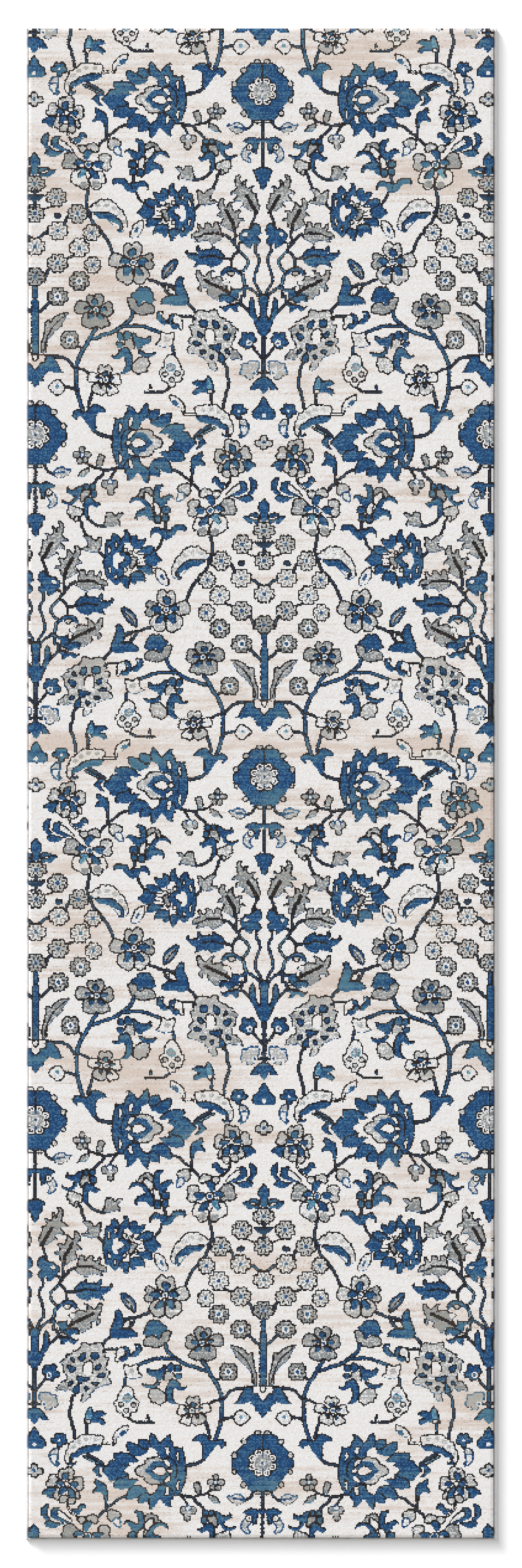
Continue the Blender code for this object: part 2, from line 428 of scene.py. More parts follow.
    def upper_sprigs(self) -> None:
        """Draws the stems, leaves and small flowers round the medallion's foot."""
        self.stem(5.2, (-2, 50), (-2, 128))
        self.blue((-8, 126), (-2, 126), (5, 127), (8, 129), (13, 131), (12, 135), (9, 140), (7, 147),
                  (3, 152), (2, 158), (-2, 164), (-8, 155))
        self.stem(5.2, (13, 50), (14, 56), (19, 62), (25, 64), (30, 65))
        self.area(Yarn.SILVER, (55, 57), (48, 58), (42, 54), (38, 54), (32, 56), (28, 60), (28, 65),
                  (30, 70), (35, 72), (41, 72), (45, 68), (49, 68), (52, 64), (54, 61), edge=Yarn.BLUE,
                  foot=Yarn.LINE)
        self.stem(3.0, (44, 61), (38, 62), (31, 63), yarn=Yarn.BLUE, edge=Yarn.BLUE)
        self.blue((-6, 79), (2, 79), (5, 80), (14, 77), (20, 78), (30, 84), (23, 88), (14, 89), (13, 100),
                  (11, 104), (7, 105), (8, 100), (6, 96), (5, 88), (2, 85), (-6, 85))
        self.area(Yarn.SILVER, (25, 91), (32, 102), (32, 109), (27, 115), (20, 118), (17, 115), (20, 111),
                  (22, 107), (18, 103), (14, 98), (16, 92), edge=Yarn.BLUE, foot=Yarn.BLUE)
        self.oval(Yarn.WHITE, 19.2, 93.3, 5.3, 5.3)
        self.oval(Yarn.LINE, 19.2, 93.3, 1.4, 1.4, edge=None)
        for u, v, across, down in ((72.9, 26.7, 4.5, 5), (81.2, 35, 6, 5), (64.2, 35, 6.5, 5),
                                   (77.5, 43.3, 5, 5), (69.6, 44.2, 5, 5)):
            self.oval(Yarn.GREY, u, v, across, down)
        self.oval(Yarn.BLUE, 73, 35.5, 3.8, 3.8, edge=None)
        self.oval(Yarn.WHITE, 73, 35.5, 2.2, 2.2, edge=None)
        self.stem(4.6, (80, 47), (86, 52), (93, 55), (104, 57), (109, 59))
        self.grey((110, 38), (104, 35), (101, 34), (98, 40), (96, 47), (98, 54), (104, 54), (106, 48),
                  (108, 43))
        self.grey((85, 54), (78, 57), (72, 59), (68, 66), (65, 70), (69, 69), (76, 69), (81, 66), (84, 61))
        self.stem(5.6, (139, 54), (129, 55), (125, 57), (109, 59), (105, 67), (98, 72), (92, 78), (92, 80))
        self.stem(4.6, (128, 57), (120, 68), (118, 73))
        self.oval(Yarn.GREY, 124.3, 80.4, 6, 6.5)
        self.oval(Yarn.GREY, 110.2, 80.4, 6, 6.5)
        self.oval(Yarn.GREY, 118.9, 92.4, 5.5, 5)
        self.oval(Yarn.WHITE, 117.6, 77, 5.0, 4.2, edge=Yarn.BLUE)
        self.oval(Yarn.SILVER, 117.6, 85, 5.0, 5.0, edge=None)

    def scroll_lily(self) -> None:
        """Draws the scrolling lily with its blue trunk, and the blossom behind it."""
        self.lined(Yarn.SILVER, (74, 120), (62, 115), (51, 112), (50, 118), (48, 122), (49, 127), (54, 128),
                   (52, 132), (58, 135), (63, 139), (66, 137), (68, 131), (73, 130))
        self.stem(2.2, (70, 131), (64, 129), (60, 132), (60, 136), yarn=Yarn.LINE)
        self.stem(5.2, (67, 133), (72, 140), (72, 147), (76, 154), (78, 160))
        self.stem(5.6, (80, 131), (86, 138), (95, 144), (104, 146), (110, 146))
        self.area(Yarn.GREY, (140, 126), (131, 125), (126, 131), (122, 124), (111, 124), (110, 138),
                  (107, 143), (111, 148), (122, 146), (132, 143), (134, 147), (134, 140), (130, 136),
                  (135, 131), foot=Yarn.BLUE)
        self.blue((75, 81), (67, 84), (61, 89), (54, 90), (50, 87), (51, 84), (48, 87), (48, 93), (52, 96),
                  (59, 98), (60, 101), (59, 104), (55, 108), (50, 109), (43, 107), (40, 105), (41, 109),
                  (45, 112), (52, 114), (58, 112), (62, 109), (67, 102), (72, 93))
        self.lined(Yarn.GREY, (85, 89), (75, 88), (72, 93), (69, 101), (70, 107), (73, 108), (78, 102),
                   (84, 99), (86, 94))
        self.blue((87, 102), (92, 105), (95, 109), (102, 110), (100, 114), (96, 118), (92, 115), (86, 113),
                  (82, 116), (82, 125), (83, 130), (78, 133), (75, 128), (75, 118), (75, 109), (78, 102),
                  (80, 100))
        for low, high in (((85, 80), (94, 89)), ((76, 80), (83.5, 89)), ((87, 90), (96, 101.7))):
            self.lined(Yarn.BLUE, low, (high[0], low[1]), high, (low[0], high[1]))
        self.grey((105, 163), (100, 163), (95, 168), (92, 168), (89, 164), (85, 161), (80, 160), (75, 160),
                  (74, 162), (79, 167), (82, 172), (83, 176), (80, 177), (85, 179), (75, 179), (72, 182),
                  (74, 184), (80, 185), (88, 188), (94, 187), (100, 186), (101, 180), (104, 177),
                  (103, 170), foot=Yarn.BLUE)

    def acanthus_leaves(self) -> None:
        """Draws the jagged leaves with a dark rib, on the stems beside the centre."""
        self.stem(5.2, (9, 198), (12, 208), (16, 217), (18, 226))
        self.grey((33, 138), (40, 139), (43, 147), (42, 154), (39, 160), (50, 167), (49, 170), (42, 169),
                  (38, 172), (44, 177), (44, 183), (38, 180), (33, 181), (29, 185), (35, 191), (32, 189),
                  (25, 192), (17, 198), (12, 198), (7, 198), (4, 193), (3, 188), (6, 185), (7, 179),
                  (9, 176), (9, 170), (7, 167), (12, 169), (17, 165), (15, 160), (12, 158), (14, 156),
                  (18, 158), (22, 160), (27, 155), (24, 146), (29, 148), (32, 157), (32, 149), (37, 146),
                  foot=Yarn.BLUE)
        self.stem(6.4, (24, 172), (19, 179), (14, 189), (8, 198), yarn=Yarn.LINE)
        self.grey((60, 177), (65, 176), (69, 182), (71, 187), (68, 193), (65, 197), (72, 202), (72, 206),
                  (67, 205), (62, 209), (65, 215), (66, 220), (60, 222), (54, 226), (48, 230), (42, 227),
                  (38, 222), (38, 216), (33, 212), (28, 213), (31, 208), (38, 208), (38, 202), (33, 198),
                  (35, 195), (40, 196), (44, 198), (48, 192), (49, 187), (48, 182), (50, 182), (53, 184),
                  (57, 190), (60, 188), (62, 182), foot=Yarn.BLUE)
        self.stem(6.4, (57, 196), (52, 206), (46, 214), (44, 228), yarn=Yarn.LINE)
        self.stem(5.4, (44, 227), (42, 235), (44, 242), (43, 248))
        self.grey((104, 217), (100, 218), (98, 223), (94, 225), (91, 222), (92, 216), (86, 215), (82, 219),
                  (80, 223), (77, 222), (78, 217), (74, 214), (69, 215), (68, 221), (66, 227), (66, 232),
                  (62, 236), (64, 241), (67, 244), (75, 247), (81, 251), (84, 247), (88, 244), (96, 245),
                  (106, 248), (107, 245), (103, 242), (110, 242), (114, 241), (112, 233), (106, 230),
                  (101, 229), (103, 224), foot=Yarn.BLUE)
        self.stem(2.6, (109, 239), (100, 238), (94, 234), (88, 232), (78, 232), (65, 234), yarn=Yarn.LINE)
        self.stem(4.4, (92, 233), (80, 232), (70, 232), yarn=Yarn.LINE)
        self.blue((11, 215), (3, 220), (2, 227), (2, 233), (8, 238), (3, 242), (3, 248), (6, 252), (8, 255),
                  (12, 252), (15, 248), (17, 252), (18, 258), (27, 252), (32, 248), (36, 241), (37, 233),
                  (31, 229), (29, 226), (20, 225), (15, 222))
        self.oval(Yarn.WHITE, 26.5, 234, 4.2, 3.0, edge=None)
        self.stem(1.7, (31, 236), (27, 238), (23, 234), yarn=Yarn.LINE)

    def blue_leaf_and_vine(self) -> None:
        """Draws the blue leaf, the vine that rings the centre, and what grows on it."""
        self.blue((120, 258), (123, 263), (122, 266), (119, 271), (115, 274), (110, 277), (105, 278),
                  (107, 282), (109, 287), (105, 286), (100, 283), (92, 283), (87, 282), (86, 285),
                  (83, 289), (80, 287), (70, 284), (65, 280), (62, 275), (60, 271), (62, 267), (66, 262),
                  (70, 258), (75, 257), (80, 252), (81, 259), (83, 258), (90, 258), (99, 260), (100, 255),
                  (103, 252), (105, 255), (105, 261), (102, 266), (108, 264), (114, 265), (119, 264))
        self.stem(3.4, (98, 271), (87, 269), (78, 268), (67, 272), yarn=Yarn.LINE)
        self.stem(5.6, (63, 272), (54, 273), (49, 274))
        self.stem(5.6, (48, 273), (45, 266), (38, 262), (34, 263))
        self.stem(5.0, (49, 274), (49, 287))
        self.stem(5.6, (61, 234), (53, 238), (48, 245), (43, 251), (38, 257), (35, 262))
        self.stem(5.6, (35, 262), (29, 268), (22, 275), (23, 283), (28, 291), (35, 295), yarn=Yarn.TEAL)
        self.stem(4.4, (38, 253), (37, 248), (31, 247), yarn=Yarn.BLUE)
        self.stem(5.4, (10, 252), (11, 262), (6, 268), (4, 278), (7, 285), (9, 292), (12, 302), (12, 312),
                  (8, 318), (4, 324), (1, 331), yarn=Yarn.BLUE)
        self.blue((67, 299), (63, 291), (57, 287), (48, 287), (42, 289), (35, 295), (30, 298), (30, 303),
                  (35, 301), (42, 296), (47, 292), (53, 292), (58, 296), (62, 301), (65, 302))
        self.lined(Yarn.SILVER, (58, 295), (53, 293), (47, 293), (43, 297), (48, 301), (52, 301))
        self.stem(6.6, (31, 300), (29, 310), (27, 316), (30, 322), yarn=Yarn.TEAL)
        self.stem(5.4, (28, 318), (28, 334))
        self.stem(5.6, (24, 320), (17, 322), (10, 328), (3, 336), yarn=Yarn.BLUE)
        self.blue((50, 318), (48, 321), (38, 322), (32, 322), (28, 316), (22, 315), (25, 321), (31, 325),
                  (38, 328), (39, 338), (48, 336), (53, 329), (50, 328), (49, 322))
        self.grey((106, 292), (100, 292), (98, 298), (92, 302), (89, 298), (83, 293), (76, 292), (82, 297),
                  (82, 305), (75, 303), (66, 302), (63, 308), (58, 307), (52, 311), (54, 315), (58, 318),
                  (54, 326), (52, 330), (58, 331), (65, 331), (71, 333), (68, 336), (71, 340), (78, 339),
                  (82, 334), (88, 332), (89, 326), (88, 322), (97, 320), (98, 328), (102, 325), (103, 319),
                  (99, 315), (102, 310), (105, 303), (106, 297), foot=Yarn.BLUE)
        self.oval(Yarn.WHITE, 58, 311.5, 5.0, 4.0, edge=None)
        self.stem(6.0, (92, 308), (78, 315), (66, 320), (53, 328), yarn=Yarn.LINE)
        self.blue((68, 338), (67, 332), (58, 332), (52, 332), (42, 338), (48, 340), (52, 346), (57, 345),
                  (60, 340), (68, 344))
        self.lined(Yarn.SILVER, (52, 346), (48, 341), (38, 338), (37, 343), (45, 346))
        self.stem(5.6, (33, 334), (34, 340), (35, 345), (28, 352), (21, 358), (14, 369))
        self.blue((68, 349), (65, 353), (56, 348), (48, 348), (38, 346), (36, 348), (41, 354), (39, 360),
                  (45, 359), (48, 355), (53, 353), (57, 358), (62, 358), (67, 353))

    def centre_trunk(self) -> None:
        """Draws the trunk on the centre line with its leaves and flowers."""
        self.blue((-8, 332), (-2, 331), (3, 333), (6, 338), (4, 345), (3, 352), (3, 366), (6, 373),
                  (8, 368), (11, 362), (12, 351), (13, 341), (16, 335), (20, 341), (21, 350), (21, 361),
                  (14, 373), (10, 381), (6, 392), (1, 400), (0, 409), (-8, 409))
        self.stem(7.4, (-2, 400), (-2, 466), yarn=Yarn.NAVY)
        self.stem(5.2, (16, 412), (12, 420), (5, 428), (-1, 435))
        self.lined(Yarn.BLUE, (33, 393), (29, 391), (25, 392), (23, 395), (21, 392), (14, 392), (13, 398),
                   (10, 400), (10, 407), (15, 408), (14, 413), (19, 417), (25, 419), (28, 417), (31, 413),
                   (36, 413), (38, 409), (37, 404), (32, 402), (33, 397))
        self.oval(Yarn.WHITE, 21, 409, 5.0, 5.0, edge=None)
        self.oval(Yarn.BLUE, 21, 409, 2.6, 2.6, edge=None)
        self.stem(4.6, (9, 458), (4, 457), (-2, 455))
        self.area(Yarn.SILVER, (33, 442), (24, 442), (22, 438), (14, 438), (6, 438), (5, 446), (6, 451),
                  (8, 454), (10, 461), (14, 462), (15, 467), (19, 469), (24, 468), (27, 462), (33, 464),
                  (36, 459), (35, 453), (33, 449), edge=Yarn.BLUE, foot=Yarn.LINE)
        self.oval(Yarn.BLUE, 13, 457.5, 3, 4, edge=Yarn.WHITE, line=1.2)
        self.blue((-8, 463), (2, 464), (6, 466), (12, 471), (14, 475), (18, 480), (20, 484), (14, 484),
                  (9, 484), (7, 479), (3, 486), (-2, 492), (-8, 485))
        self.blue((-8, 504), (-2, 496), (0, 499), (4, 504), (5, 509), (8, 512), (15, 518), (16, 522),
                  (16, 528), (12, 532), (2, 532), (-8, 533))
        self.oval(Yarn.WHITE, -2.4, 525.5, 3.4, 3.4, edge=None)
        self.lined(Yarn.BLUE, (51, 519), (48, 515), (48, 509), (43, 507), (39, 508), (33, 507), (30, 509),
                   (31, 514), (25, 515), (24, 518), (26, 522), (35, 524), (34, 528), (38, 531), (42, 530),
                   (43, 525), (50, 524))
        self.oval(Yarn.WHITE, 38.3, 518.5, 2.2, 2.2, edge=None)
        self.area(Yarn.SILVER, (37, 532), (32, 531), (27, 533), (22, 541), (22, 547), (25, 553), (31, 556),
                  (39, 559), (34, 553), (36, 545), (37, 538), edge=Yarn.NAVY, foot=Yarn.NAVY, line=1.5)

    def far_side(self) -> None:
        """Draws what grows between the palmettes and the far fold."""
        self.vines()
        self.lily_and_scrolls()
        self.far_blossoms()
        self.great_flower()
        self.bell_and_leaves()
        self.fold_pieces()
        self.ring_flowers()
        self.stars_and_leaf()
        self.pale_blossom()
        self.lower_field()
        self.lower_far()

    def vines(self) -> None:
        """Draws the long stems that the far side's flowers grow on."""
        self.stem(6.0, (206, 139), (207, 145), (208, 151))
        self.stem(5.2, (203, 164), (201, 168), (198, 176), (193, 182))
        self.stem(5.6, (250, 55), (250, 66), (249, 77), (247, 82))
        self.stem(5.2, (250, 77), (240, 71), (230, 62), (220, 58), (216, 58))
        self.stem(5.2, (251, 80), (258, 86), (264, 94))
        self.stem(5.2, (286, -7), (275, -1), (267, 3), (255, 7), yarn=Yarn.TEAL)
        self.stem(4.6, (312, 69), (311, 77), (306, 84), (299, 89), (292, 92), yarn=Yarn.WHITE)
        self.stem(6.0, (279, 157), (280, 168), (282, 172), (283, 185), (282, 193), (276, 198))
        self.stem(6.0, (278, 200), (275, 209), (271, 217), (263, 223), (258, 231), (252, 238), (246, 248),
                  (241, 262))
        self.stem(3.0, (338, 189), (350, 193), yarn=Yarn.LINE)
        self.stem(5.6, (311, 203), (315, 209), (318, 218))
        self.stem(5.8, (345, 230), (351, 232), (357, 238), (366, 242))
        self.stem(4.8, (318, 273), (310, 271), (303, 268))
        self.stem(6.0, (339, 288), (345, 292), (348, 301), (351, 309))
        self.stem(6.0, (339, 342), (346, 346), (351, 352), (361, 360))
        self.stem(5.8, (182, 307), (173, 309), (167, 313), (160, 314), (150, 315), (142, 318))
        self.stem(5.8, (160, 314), (156, 324), (151, 330))
        self.stem(5.8, (120, 345), (112, 352), (107, 360))

    def lily_and_scrolls(self) -> None:
        """Draws the scrolling lily under the great palmette, and the curled leaf below it."""
        self.lined(Yarn.SILVER, (248, 88), (245, 79), (238, 79), (232, 81), (226, 85), (226, 90), (229, 93),
                   (236, 96), (242, 99), (247, 94))
        self.area(Yarn.WHITE, (238, 94), (232, 92), (227, 95), (226, 100), (225, 108), (232, 106),
                  (238, 102), edge=Yarn.BLUE, foot=Yarn.BLUE)
        self.lined(Yarn.GREY, (188, 97), (187, 90), (184, 87), (180, 85), (174, 86), (172, 88), (168, 88),
                   (166, 92), (164, 96), (160, 98), (163, 100), (170, 101), (172, 97), (172, 93), (175, 92),
                   (179, 94), (184, 98))
        self.white((178, 94), (174, 93), (172, 97), (173, 103), (178, 108), (183, 113), (188, 109),
                   (188, 102), (184, 98))
        self.blue((203, 82), (201, 80), (197, 82), (192, 82), (189, 88), (188, 95), (188, 99), (189, 107),
                  (192, 110), (196, 115), (200, 116), (208, 112), (210, 108), (213, 105), (217, 101),
                  (220, 104), (219, 99), (216, 97), (211, 97), (207, 99), (201, 102), (198, 102), (197, 96),
                  (198, 90), (201, 86))
        self.white((198, 114), (190, 108), (187, 112), (189, 119), (190, 128), (198, 128), (200, 126))
        self.blue((149, 111), (150, 107), (153, 102), (158, 100), (163, 100), (170, 102), (175, 104),
                  (178, 108), (181, 113), (183, 115), (186, 119), (187, 125), (189, 128), (188, 133),
                  (189, 137), (187, 139), (181, 136), (177, 131), (170, 129), (165, 130), (162, 132),
                  (160, 136), (158, 134), (159, 128), (162, 123), (167, 120), (172, 119), (175, 117),
                  (171, 111), (168, 107), (163, 105), (158, 106), (154, 108))
        for low, high in (((201.5, 115), (214, 126)), ((201.7, 127.5), (212, 138.5)),
                          ((190, 128.5), (200, 141))):
            self.lined(Yarn.BLUE, low, (high[0], low[1]), high, (low[0], high[1]))
        self.blue((238, 144), (240, 148), (240, 152), (238, 155), (237, 152), (230, 152), (226, 153),
                  (222, 158), (218, 163), (213, 166), (208, 168), (201, 163), (199, 160), (197, 157),
                  (190, 156), (185, 159), (183, 163), (183, 154), (187, 150), (190, 147), (196, 148),
                  (198, 151), (203, 150), (208, 151), (211, 152), (216, 153), (218, 147), (223, 144),
                  (231, 144))
        self.stem(1.8, (211, 152), (208, 159), yarn=Yarn.LINE)
        self.white((197, 212), (192, 211), (190, 213), (191, 224), (194, 231), (198, 237), (204, 240),
                   (212, 240), (212, 230), (208, 225), (207, 219), (202, 215), foot=Yarn.BLUE)
        self.bare(Yarn.BLUE, (200, 221), (198, 224), (200, 229), (204, 233), (206, 229), (203, 224))
        self.white((282, 191), (273, 188), (272, 184), (264, 182), (262, 178), (258, 177), (254, 179),
                   (250, 177), (242, 179), (235, 184), (230, 192), (224, 195), (222, 201), (219, 207),
                   (217, 215), (216, 222), (219, 227), (225, 230), (229, 232), (236, 222), (250, 209),
                   (268, 203), foot=Yarn.BLUE)
        for u, v in ((264, 188), (250, 187), (238, 192), (229, 203), (222, 214)):
            self.oval(Yarn.SILVER, u, v, 4.6, 3.6, edge=None)
        self.blue((271, 198), (258, 199), (245, 199), (240, 201), (234, 206), (227, 213), (224, 219),
                  (224, 226), (229, 232), (234, 228), (228, 226), (228, 221), (231, 218), (242, 214),
                  (247, 211), (253, 209), (261, 209), (268, 204))

    def far_blossoms(self) -> None:
        """Draws the cross-shaped blossoms beside the far fold and on it."""
        for u, v, across, down, yarn, halo in (
                (330.8, 174.3, 16, 14.3, Yarn.SILVER, False), (328.8, 228, 16.2, 14.3, Yarn.WHITE, False),
                (296.5, 200.5, 15.8, 14.8, Yarn.SILVER, False), (274, 231, 13.4, 12.8, Yarn.WHITE, False),
                (329.3, 280.3, 16.6, 14.6, Yarn.SILVER, False), (294, 255.3, 16, 14.8, Yarn.WHITE, False),
                (272.7, 283.3, 13, 13.3, Yarn.WHITE, False), (294.3, 309, 16, 14.8, Yarn.GREY, True),
                (329.3, 334, 16.4, 14.2, Yarn.GREY, True), (365.9, 152.5, 17.4, 12.6, Yarn.SILVER, False),
                (365.9, 200, 15.4, 14, Yarn.SILVER, False), (365.9, 253.3, 16.6, 13.4, Yarn.WHITE, False)):
            self.blossom(u, v, across, down, yarn, halo=halo)
        self.lined(Yarn.SILVER, (372, 4), (366, 5), (362, 6), (360, 9), (361, 13), (357, 12), (353, 13),
                   (351, 16), (352, 21), (357, 23), (361, 22), (360, 25), (363, 27), (372, 26))
        self.oval(Yarn.BLUE, 365.9, 15.5, 3, 3, edge=None)
        self.area(Yarn.NAVY, (334, 200), (325, 201), (323, 207), (328, 210), (334, 208))

    def great_flower(self) -> None:
        """Draws the six-petalled flower, its grey petals laid round blue ones."""
        light = Yarn.SILVER
        self.lined(light, (327, 21), (326, 17), (322, 13), (318, 13), (318, 15), (314, 12), (309, 10),
                   (305, 11), (302, 16), (302, 22), (302, 27), (306, 31), (321, 31), (327, 28))
        self.blue((320, 22), (317, 20), (310, 19), (310, 25), (313, 32), (318, 32), (321, 28))
        self.lined(light, (342, 32), (343, 27), (339, 22), (332, 22), (330, 26), (326, 30), (325, 35),
                   (329, 41), (338, 43), (346, 41), (347, 38), (346, 34))
        self.blue((331, 37), (328, 32), (322, 32), (318, 35), (318, 40), (325, 41))
        self.lined(light, (300, 28), (297, 26), (290, 26), (287, 30), (286, 35), (287, 38), (286, 40),
                   (286, 45), (290, 48), (295, 48), (300, 44), (304, 40), (304, 33))
        self.blue((308, 36), (302, 34), (296, 35), (295, 40), (298, 43), (303, 42), (308, 40))
        self.lined(light, (335, 59), (334, 51), (330, 44), (324, 43), (320, 50), (320, 58), (326, 64),
                   (330, 63))
        self.lined(light, (325, 59), (318, 55), (312, 56), (311, 61), (314, 67), (320, 69), (325, 67))
        self.blue((325, 43), (318, 42), (313, 44), (313, 48), (317, 52), (322, 56), (326, 56), (325, 48))
        self.lined(light, (300, 50), (295, 49), (292, 55), (292, 63), (297, 62), (299, 57))
        self.lined(light, (311, 59), (300, 59), (298, 63), (300, 68), (305, 71), (310, 70), (312, 66))
        self.blue((312, 42), (307, 43), (302, 48), (300, 52), (300, 59), (309, 59), (311, 50))
        self.oval(Yarn.WHITE, 313.5, 37.5, 4.2, 4.0)
        self.blue((352, 55), (353, 51), (350, 48), (343, 44), (332, 44), (331, 48), (335, 53), (336, 58),
                  (338, 62), (344, 59), (348, 54))
        self.blue((308, 80), (302, 79), (296, 78), (294, 75), (292, 71), (288, 69), (283, 72), (282, 78),
                  (285, 78), (288, 78), (289, 82), (293, 87), (298, 87), (302, 83))
        self.blue((268, 38), (267, 30), (262, 32), (257, 36), (252, 37), (250, 40), (248, 47), (248, 53),
                  (248, 64), (252, 64), (253, 57), (258, 52), (263, 51), (270, 53), (271, 50), (267, 45),
                  (265, 42))
        self.blue((266, 6), (255, 7), (252, 10), (261, 12), (262, 17), (260, 23), (254, 27), (263, 26),
                  (267, 22), (272, 18), (272, 16), (269, 12), (266, 10))

    def bell_and_leaves(self) -> None:
        """Draws the hooked blue leaves, and the large open flower under them."""
        self.blue((343, 70), (347, 71), (352, 75), (354, 79), (354, 85), (352, 90), (348, 96), (342, 98),
                  (339, 94), (346, 89), (344, 82), (344, 77), (342, 73))
        self.blue((337, 78), (330, 76), (323, 77), (328, 80), (328, 86), (325, 90), (318, 94), (312, 98),
                  (306, 101), (317, 100), (325, 98), (333, 95), (339, 90), (338, 83))
        self.area(Yarn.WHITE, (328, 81), (325, 80), (318, 84), (312, 89), (305, 96), (304, 100), (312, 97),
                  (318, 94), (325, 90), (328, 86))
        self.blue((348, 100), (340, 96), (337, 98), (325, 101), (318, 101), (323, 104), (330, 108),
                  (337, 109), (343, 108), (348, 105))
        self.lined(Yarn.GREY, (318, 108), (317, 104), (308, 102), (302, 103), (297, 108), (294, 113),
                   (300, 117), (303, 121), (294, 124), (297, 127), (301, 130), (304, 128), (318, 128),
                   (321, 125), (322, 119), (318, 113))
        self.lined(Yarn.SILVER, (280, 89), (275, 88), (270, 86), (265, 89), (262, 93), (262, 100),
                   (268, 102), (274, 98), (282, 97), (282, 92))
        self.lined(Yarn.SILVER, (296, 96), (295, 92), (288, 90), (282, 92), (282, 97), (284, 101),
                   (290, 103))
        self.lined(Yarn.SILVER, (262, 106), (255, 104), (248, 104), (243, 108), (242, 112), (245, 118),
                   (242, 126), (245, 129), (250, 132), (255, 130), (259, 126), (262, 118))
        self.blue((287, 107), (287, 102), (282, 98), (274, 97), (272, 102), (276, 109), (281, 115),
                  (286, 113))
        self.blue((302, 120), (300, 116), (295, 112), (285, 116), (288, 121), (294, 123))
        self.blue((272, 119), (268, 116), (260, 115), (253, 118), (258, 125), (260, 128), (266, 127),
                  (271, 122))
        self.lined(Yarn.WHITE, (300, 130), (304, 132), (307, 138), (307, 149), (302, 153), (298, 155),
                   (294, 157), (289, 161), (282, 161), (278, 157), (279, 148), (284, 136), (290, 131))
        self.lined(Yarn.WHITE, (278, 143), (277, 150), (275, 157), (270, 161), (263, 162), (259, 158),
                   (258, 152), (252, 152), (250, 145), (253, 140), (255, 134), (259, 131), (266, 134))
        self.bare(Yarn.GREY, (294, 152), (293, 157), (288, 160), (283, 160), (280, 155), (282, 150),
                  (289, 149))
        self.bare(Yarn.GREY, (274, 148), (273, 156), (269, 159), (264, 160), (260, 155), (260, 150),
                  (268, 146))
        self.area(Yarn.TEAL, (296, 128), (288, 126), (281, 128), (281, 134), (287, 139), (292, 144),
                  (295, 143), (296, 138), (292, 133))
        self.blue((279, 128), (274, 128), (265, 134), (261, 142), (262, 146), (273, 144), (276, 138))
        self.oval(Yarn.WHITE, 279.2, 121.5, 6.6, 6.4)
        self.oval(Yarn.BLUE, 279.2, 121.5, 3.7, 3.9, edge=None)
        self.area(Yarn.WHITE, (341, -10), (340, 0), (335, 6), (327, 10), (331, 4), (329, -4), (328, -10),
                  edge=Yarn.BLUE, foot=Yarn.BLUE)

    def fold_pieces(self) -> None:
        """Draws the pieces on the far fold, and the leaf beside them."""
        self.blue((372, 101), (366, 102), (362, 107), (358, 111), (357, 116), (358, 122), (360, 125),
                  (360, 131), (359, 137), (372, 140))
        self.blue((359, 128), (355, 126), (349, 125), (343, 127), (340, 130), (333, 130), (332, 134),
                  (338, 138), (341, 142), (346, 142), (348, 139), (351, 141), (354, 142), (358, 138))
        self.window((358, 134), (353, 132), (345, 130), (342, 132), (349, 136), (355, 136))
        self.stem(6.2, (366, 163), (366, 190))
        self.area(Yarn.NAVY, (372, 171), (366, 171), (358, 170), (350, 170), (352, 174), (357, 179),
                  (366, 181), (372, 181))
        self.stem(9.4, (366, 315), (366, 345), yarn=Yarn.BLUE)
        self.stem(13.0, (366, 343), (366, 428), yarn=Yarn.BLUE)
        self.blossom(365.9, 302.5, 16.6, 14, Yarn.GREY)

    def ring_flowers(self) -> None:
        """Draws the two round flowers whose pale petals lie on blue ones."""
        self.lined(Yarn.SILVER, (223, 259), (222, 252), (219, 248), (214, 248), (210, 252), (208, 249),
                   (204, 246), (200, 245), (195, 250), (192, 257), (194, 263), (196, 268), (208, 275),
                   (223, 268))
        self.blue((216, 262), (213, 259), (207, 256), (202, 259), (204, 267), (208, 272), (214, 270))
        self.lined(Yarn.SILVER, (243, 267), (239, 263), (229, 266), (222, 270), (214, 278), (227, 287),
                   (234, 287), (243, 286), (247, 281), (247, 276))
        self.blue((229, 278), (226, 272), (220, 271), (212, 275), (213, 280), (227, 282))
        self.lined(Yarn.GREY, (193, 268), (186, 266), (181, 263), (176, 266), (175, 272), (179, 275),
                   (173, 282), (175, 287), (179, 290), (186, 289), (192, 286), (200, 279))
        self.blue((201, 278), (197, 272), (187, 272), (182, 278), (188, 281), (190, 285), (194, 283),
                  (200, 282))
        self.lined(Yarn.SILVER, (226, 286), (234, 291), (234, 296), (235, 303), (229, 310), (224, 311),
                   (222, 313), (218, 316), (214, 315), (208, 310), (207, 302), (209, 286))
        self.blue((223, 287), (217, 284), (208, 287), (210, 293), (214, 299), (218, 302), (224, 300),
                  (222, 292))
        self.lined(Yarn.SILVER, (206, 300), (207, 309), (200, 315), (190, 313), (188, 308), (182, 303),
                   (181, 299), (184, 292), (190, 286), (200, 284))
        self.blue((206, 288), (203, 285), (197, 288), (192, 295), (191, 299), (193, 302), (201, 300),
                  (206, 294))
        self.oval(Yarn.WHITE, 207.5, 278.3, 5.5, 5.5)
        self.oval(Yarn.BLUE, 207.5, 278.3, 2.6, 2.6, edge=None)
        self.lined(Yarn.GREY, (284, 338), (280, 331), (276, 331), (271, 334), (266, 329), (260, 330),
                   (255, 334), (255, 342), (262, 352), (276, 350))
        self.blue((275, 341), (271, 337), (265, 339), (265, 346), (269, 350), (274, 346))
        self.lined(Yarn.GREY, (283, 343), (287, 342), (292, 340), (298, 342), (302, 350), (302, 358),
                   (298, 362), (289, 362), (278, 358), (276, 350))
        self.blue((286, 351), (277, 350), (274, 355), (285, 356))
        self.lined(Yarn.GREY, (250, 342), (245, 342), (241, 348), (242, 353), (239, 358), (243, 364),
                   (251, 367), (262, 359), (260, 350))
        self.blue((261, 351), (250, 351), (250, 358), (262, 358))
        self.lined(Yarn.GREY, (289, 362), (291, 378), (287, 382), (277, 386), (272, 385), (268, 382),
                   (263, 384), (258, 386), (254, 382), (247, 381), (245, 378), (251, 367), (262, 359),
                   (276, 359))
        self.blue((281, 362), (271, 362), (272, 368), (279, 372))
        self.blue((266, 362), (260, 362), (254, 369), (258, 372), (265, 369))
        self.oval(Yarn.WHITE, 267.5, 355.8, 5.5, 5.5)
        self.oval(Yarn.BLUE, 267.5, 355.8, 2.6, 2.6, edge=None)

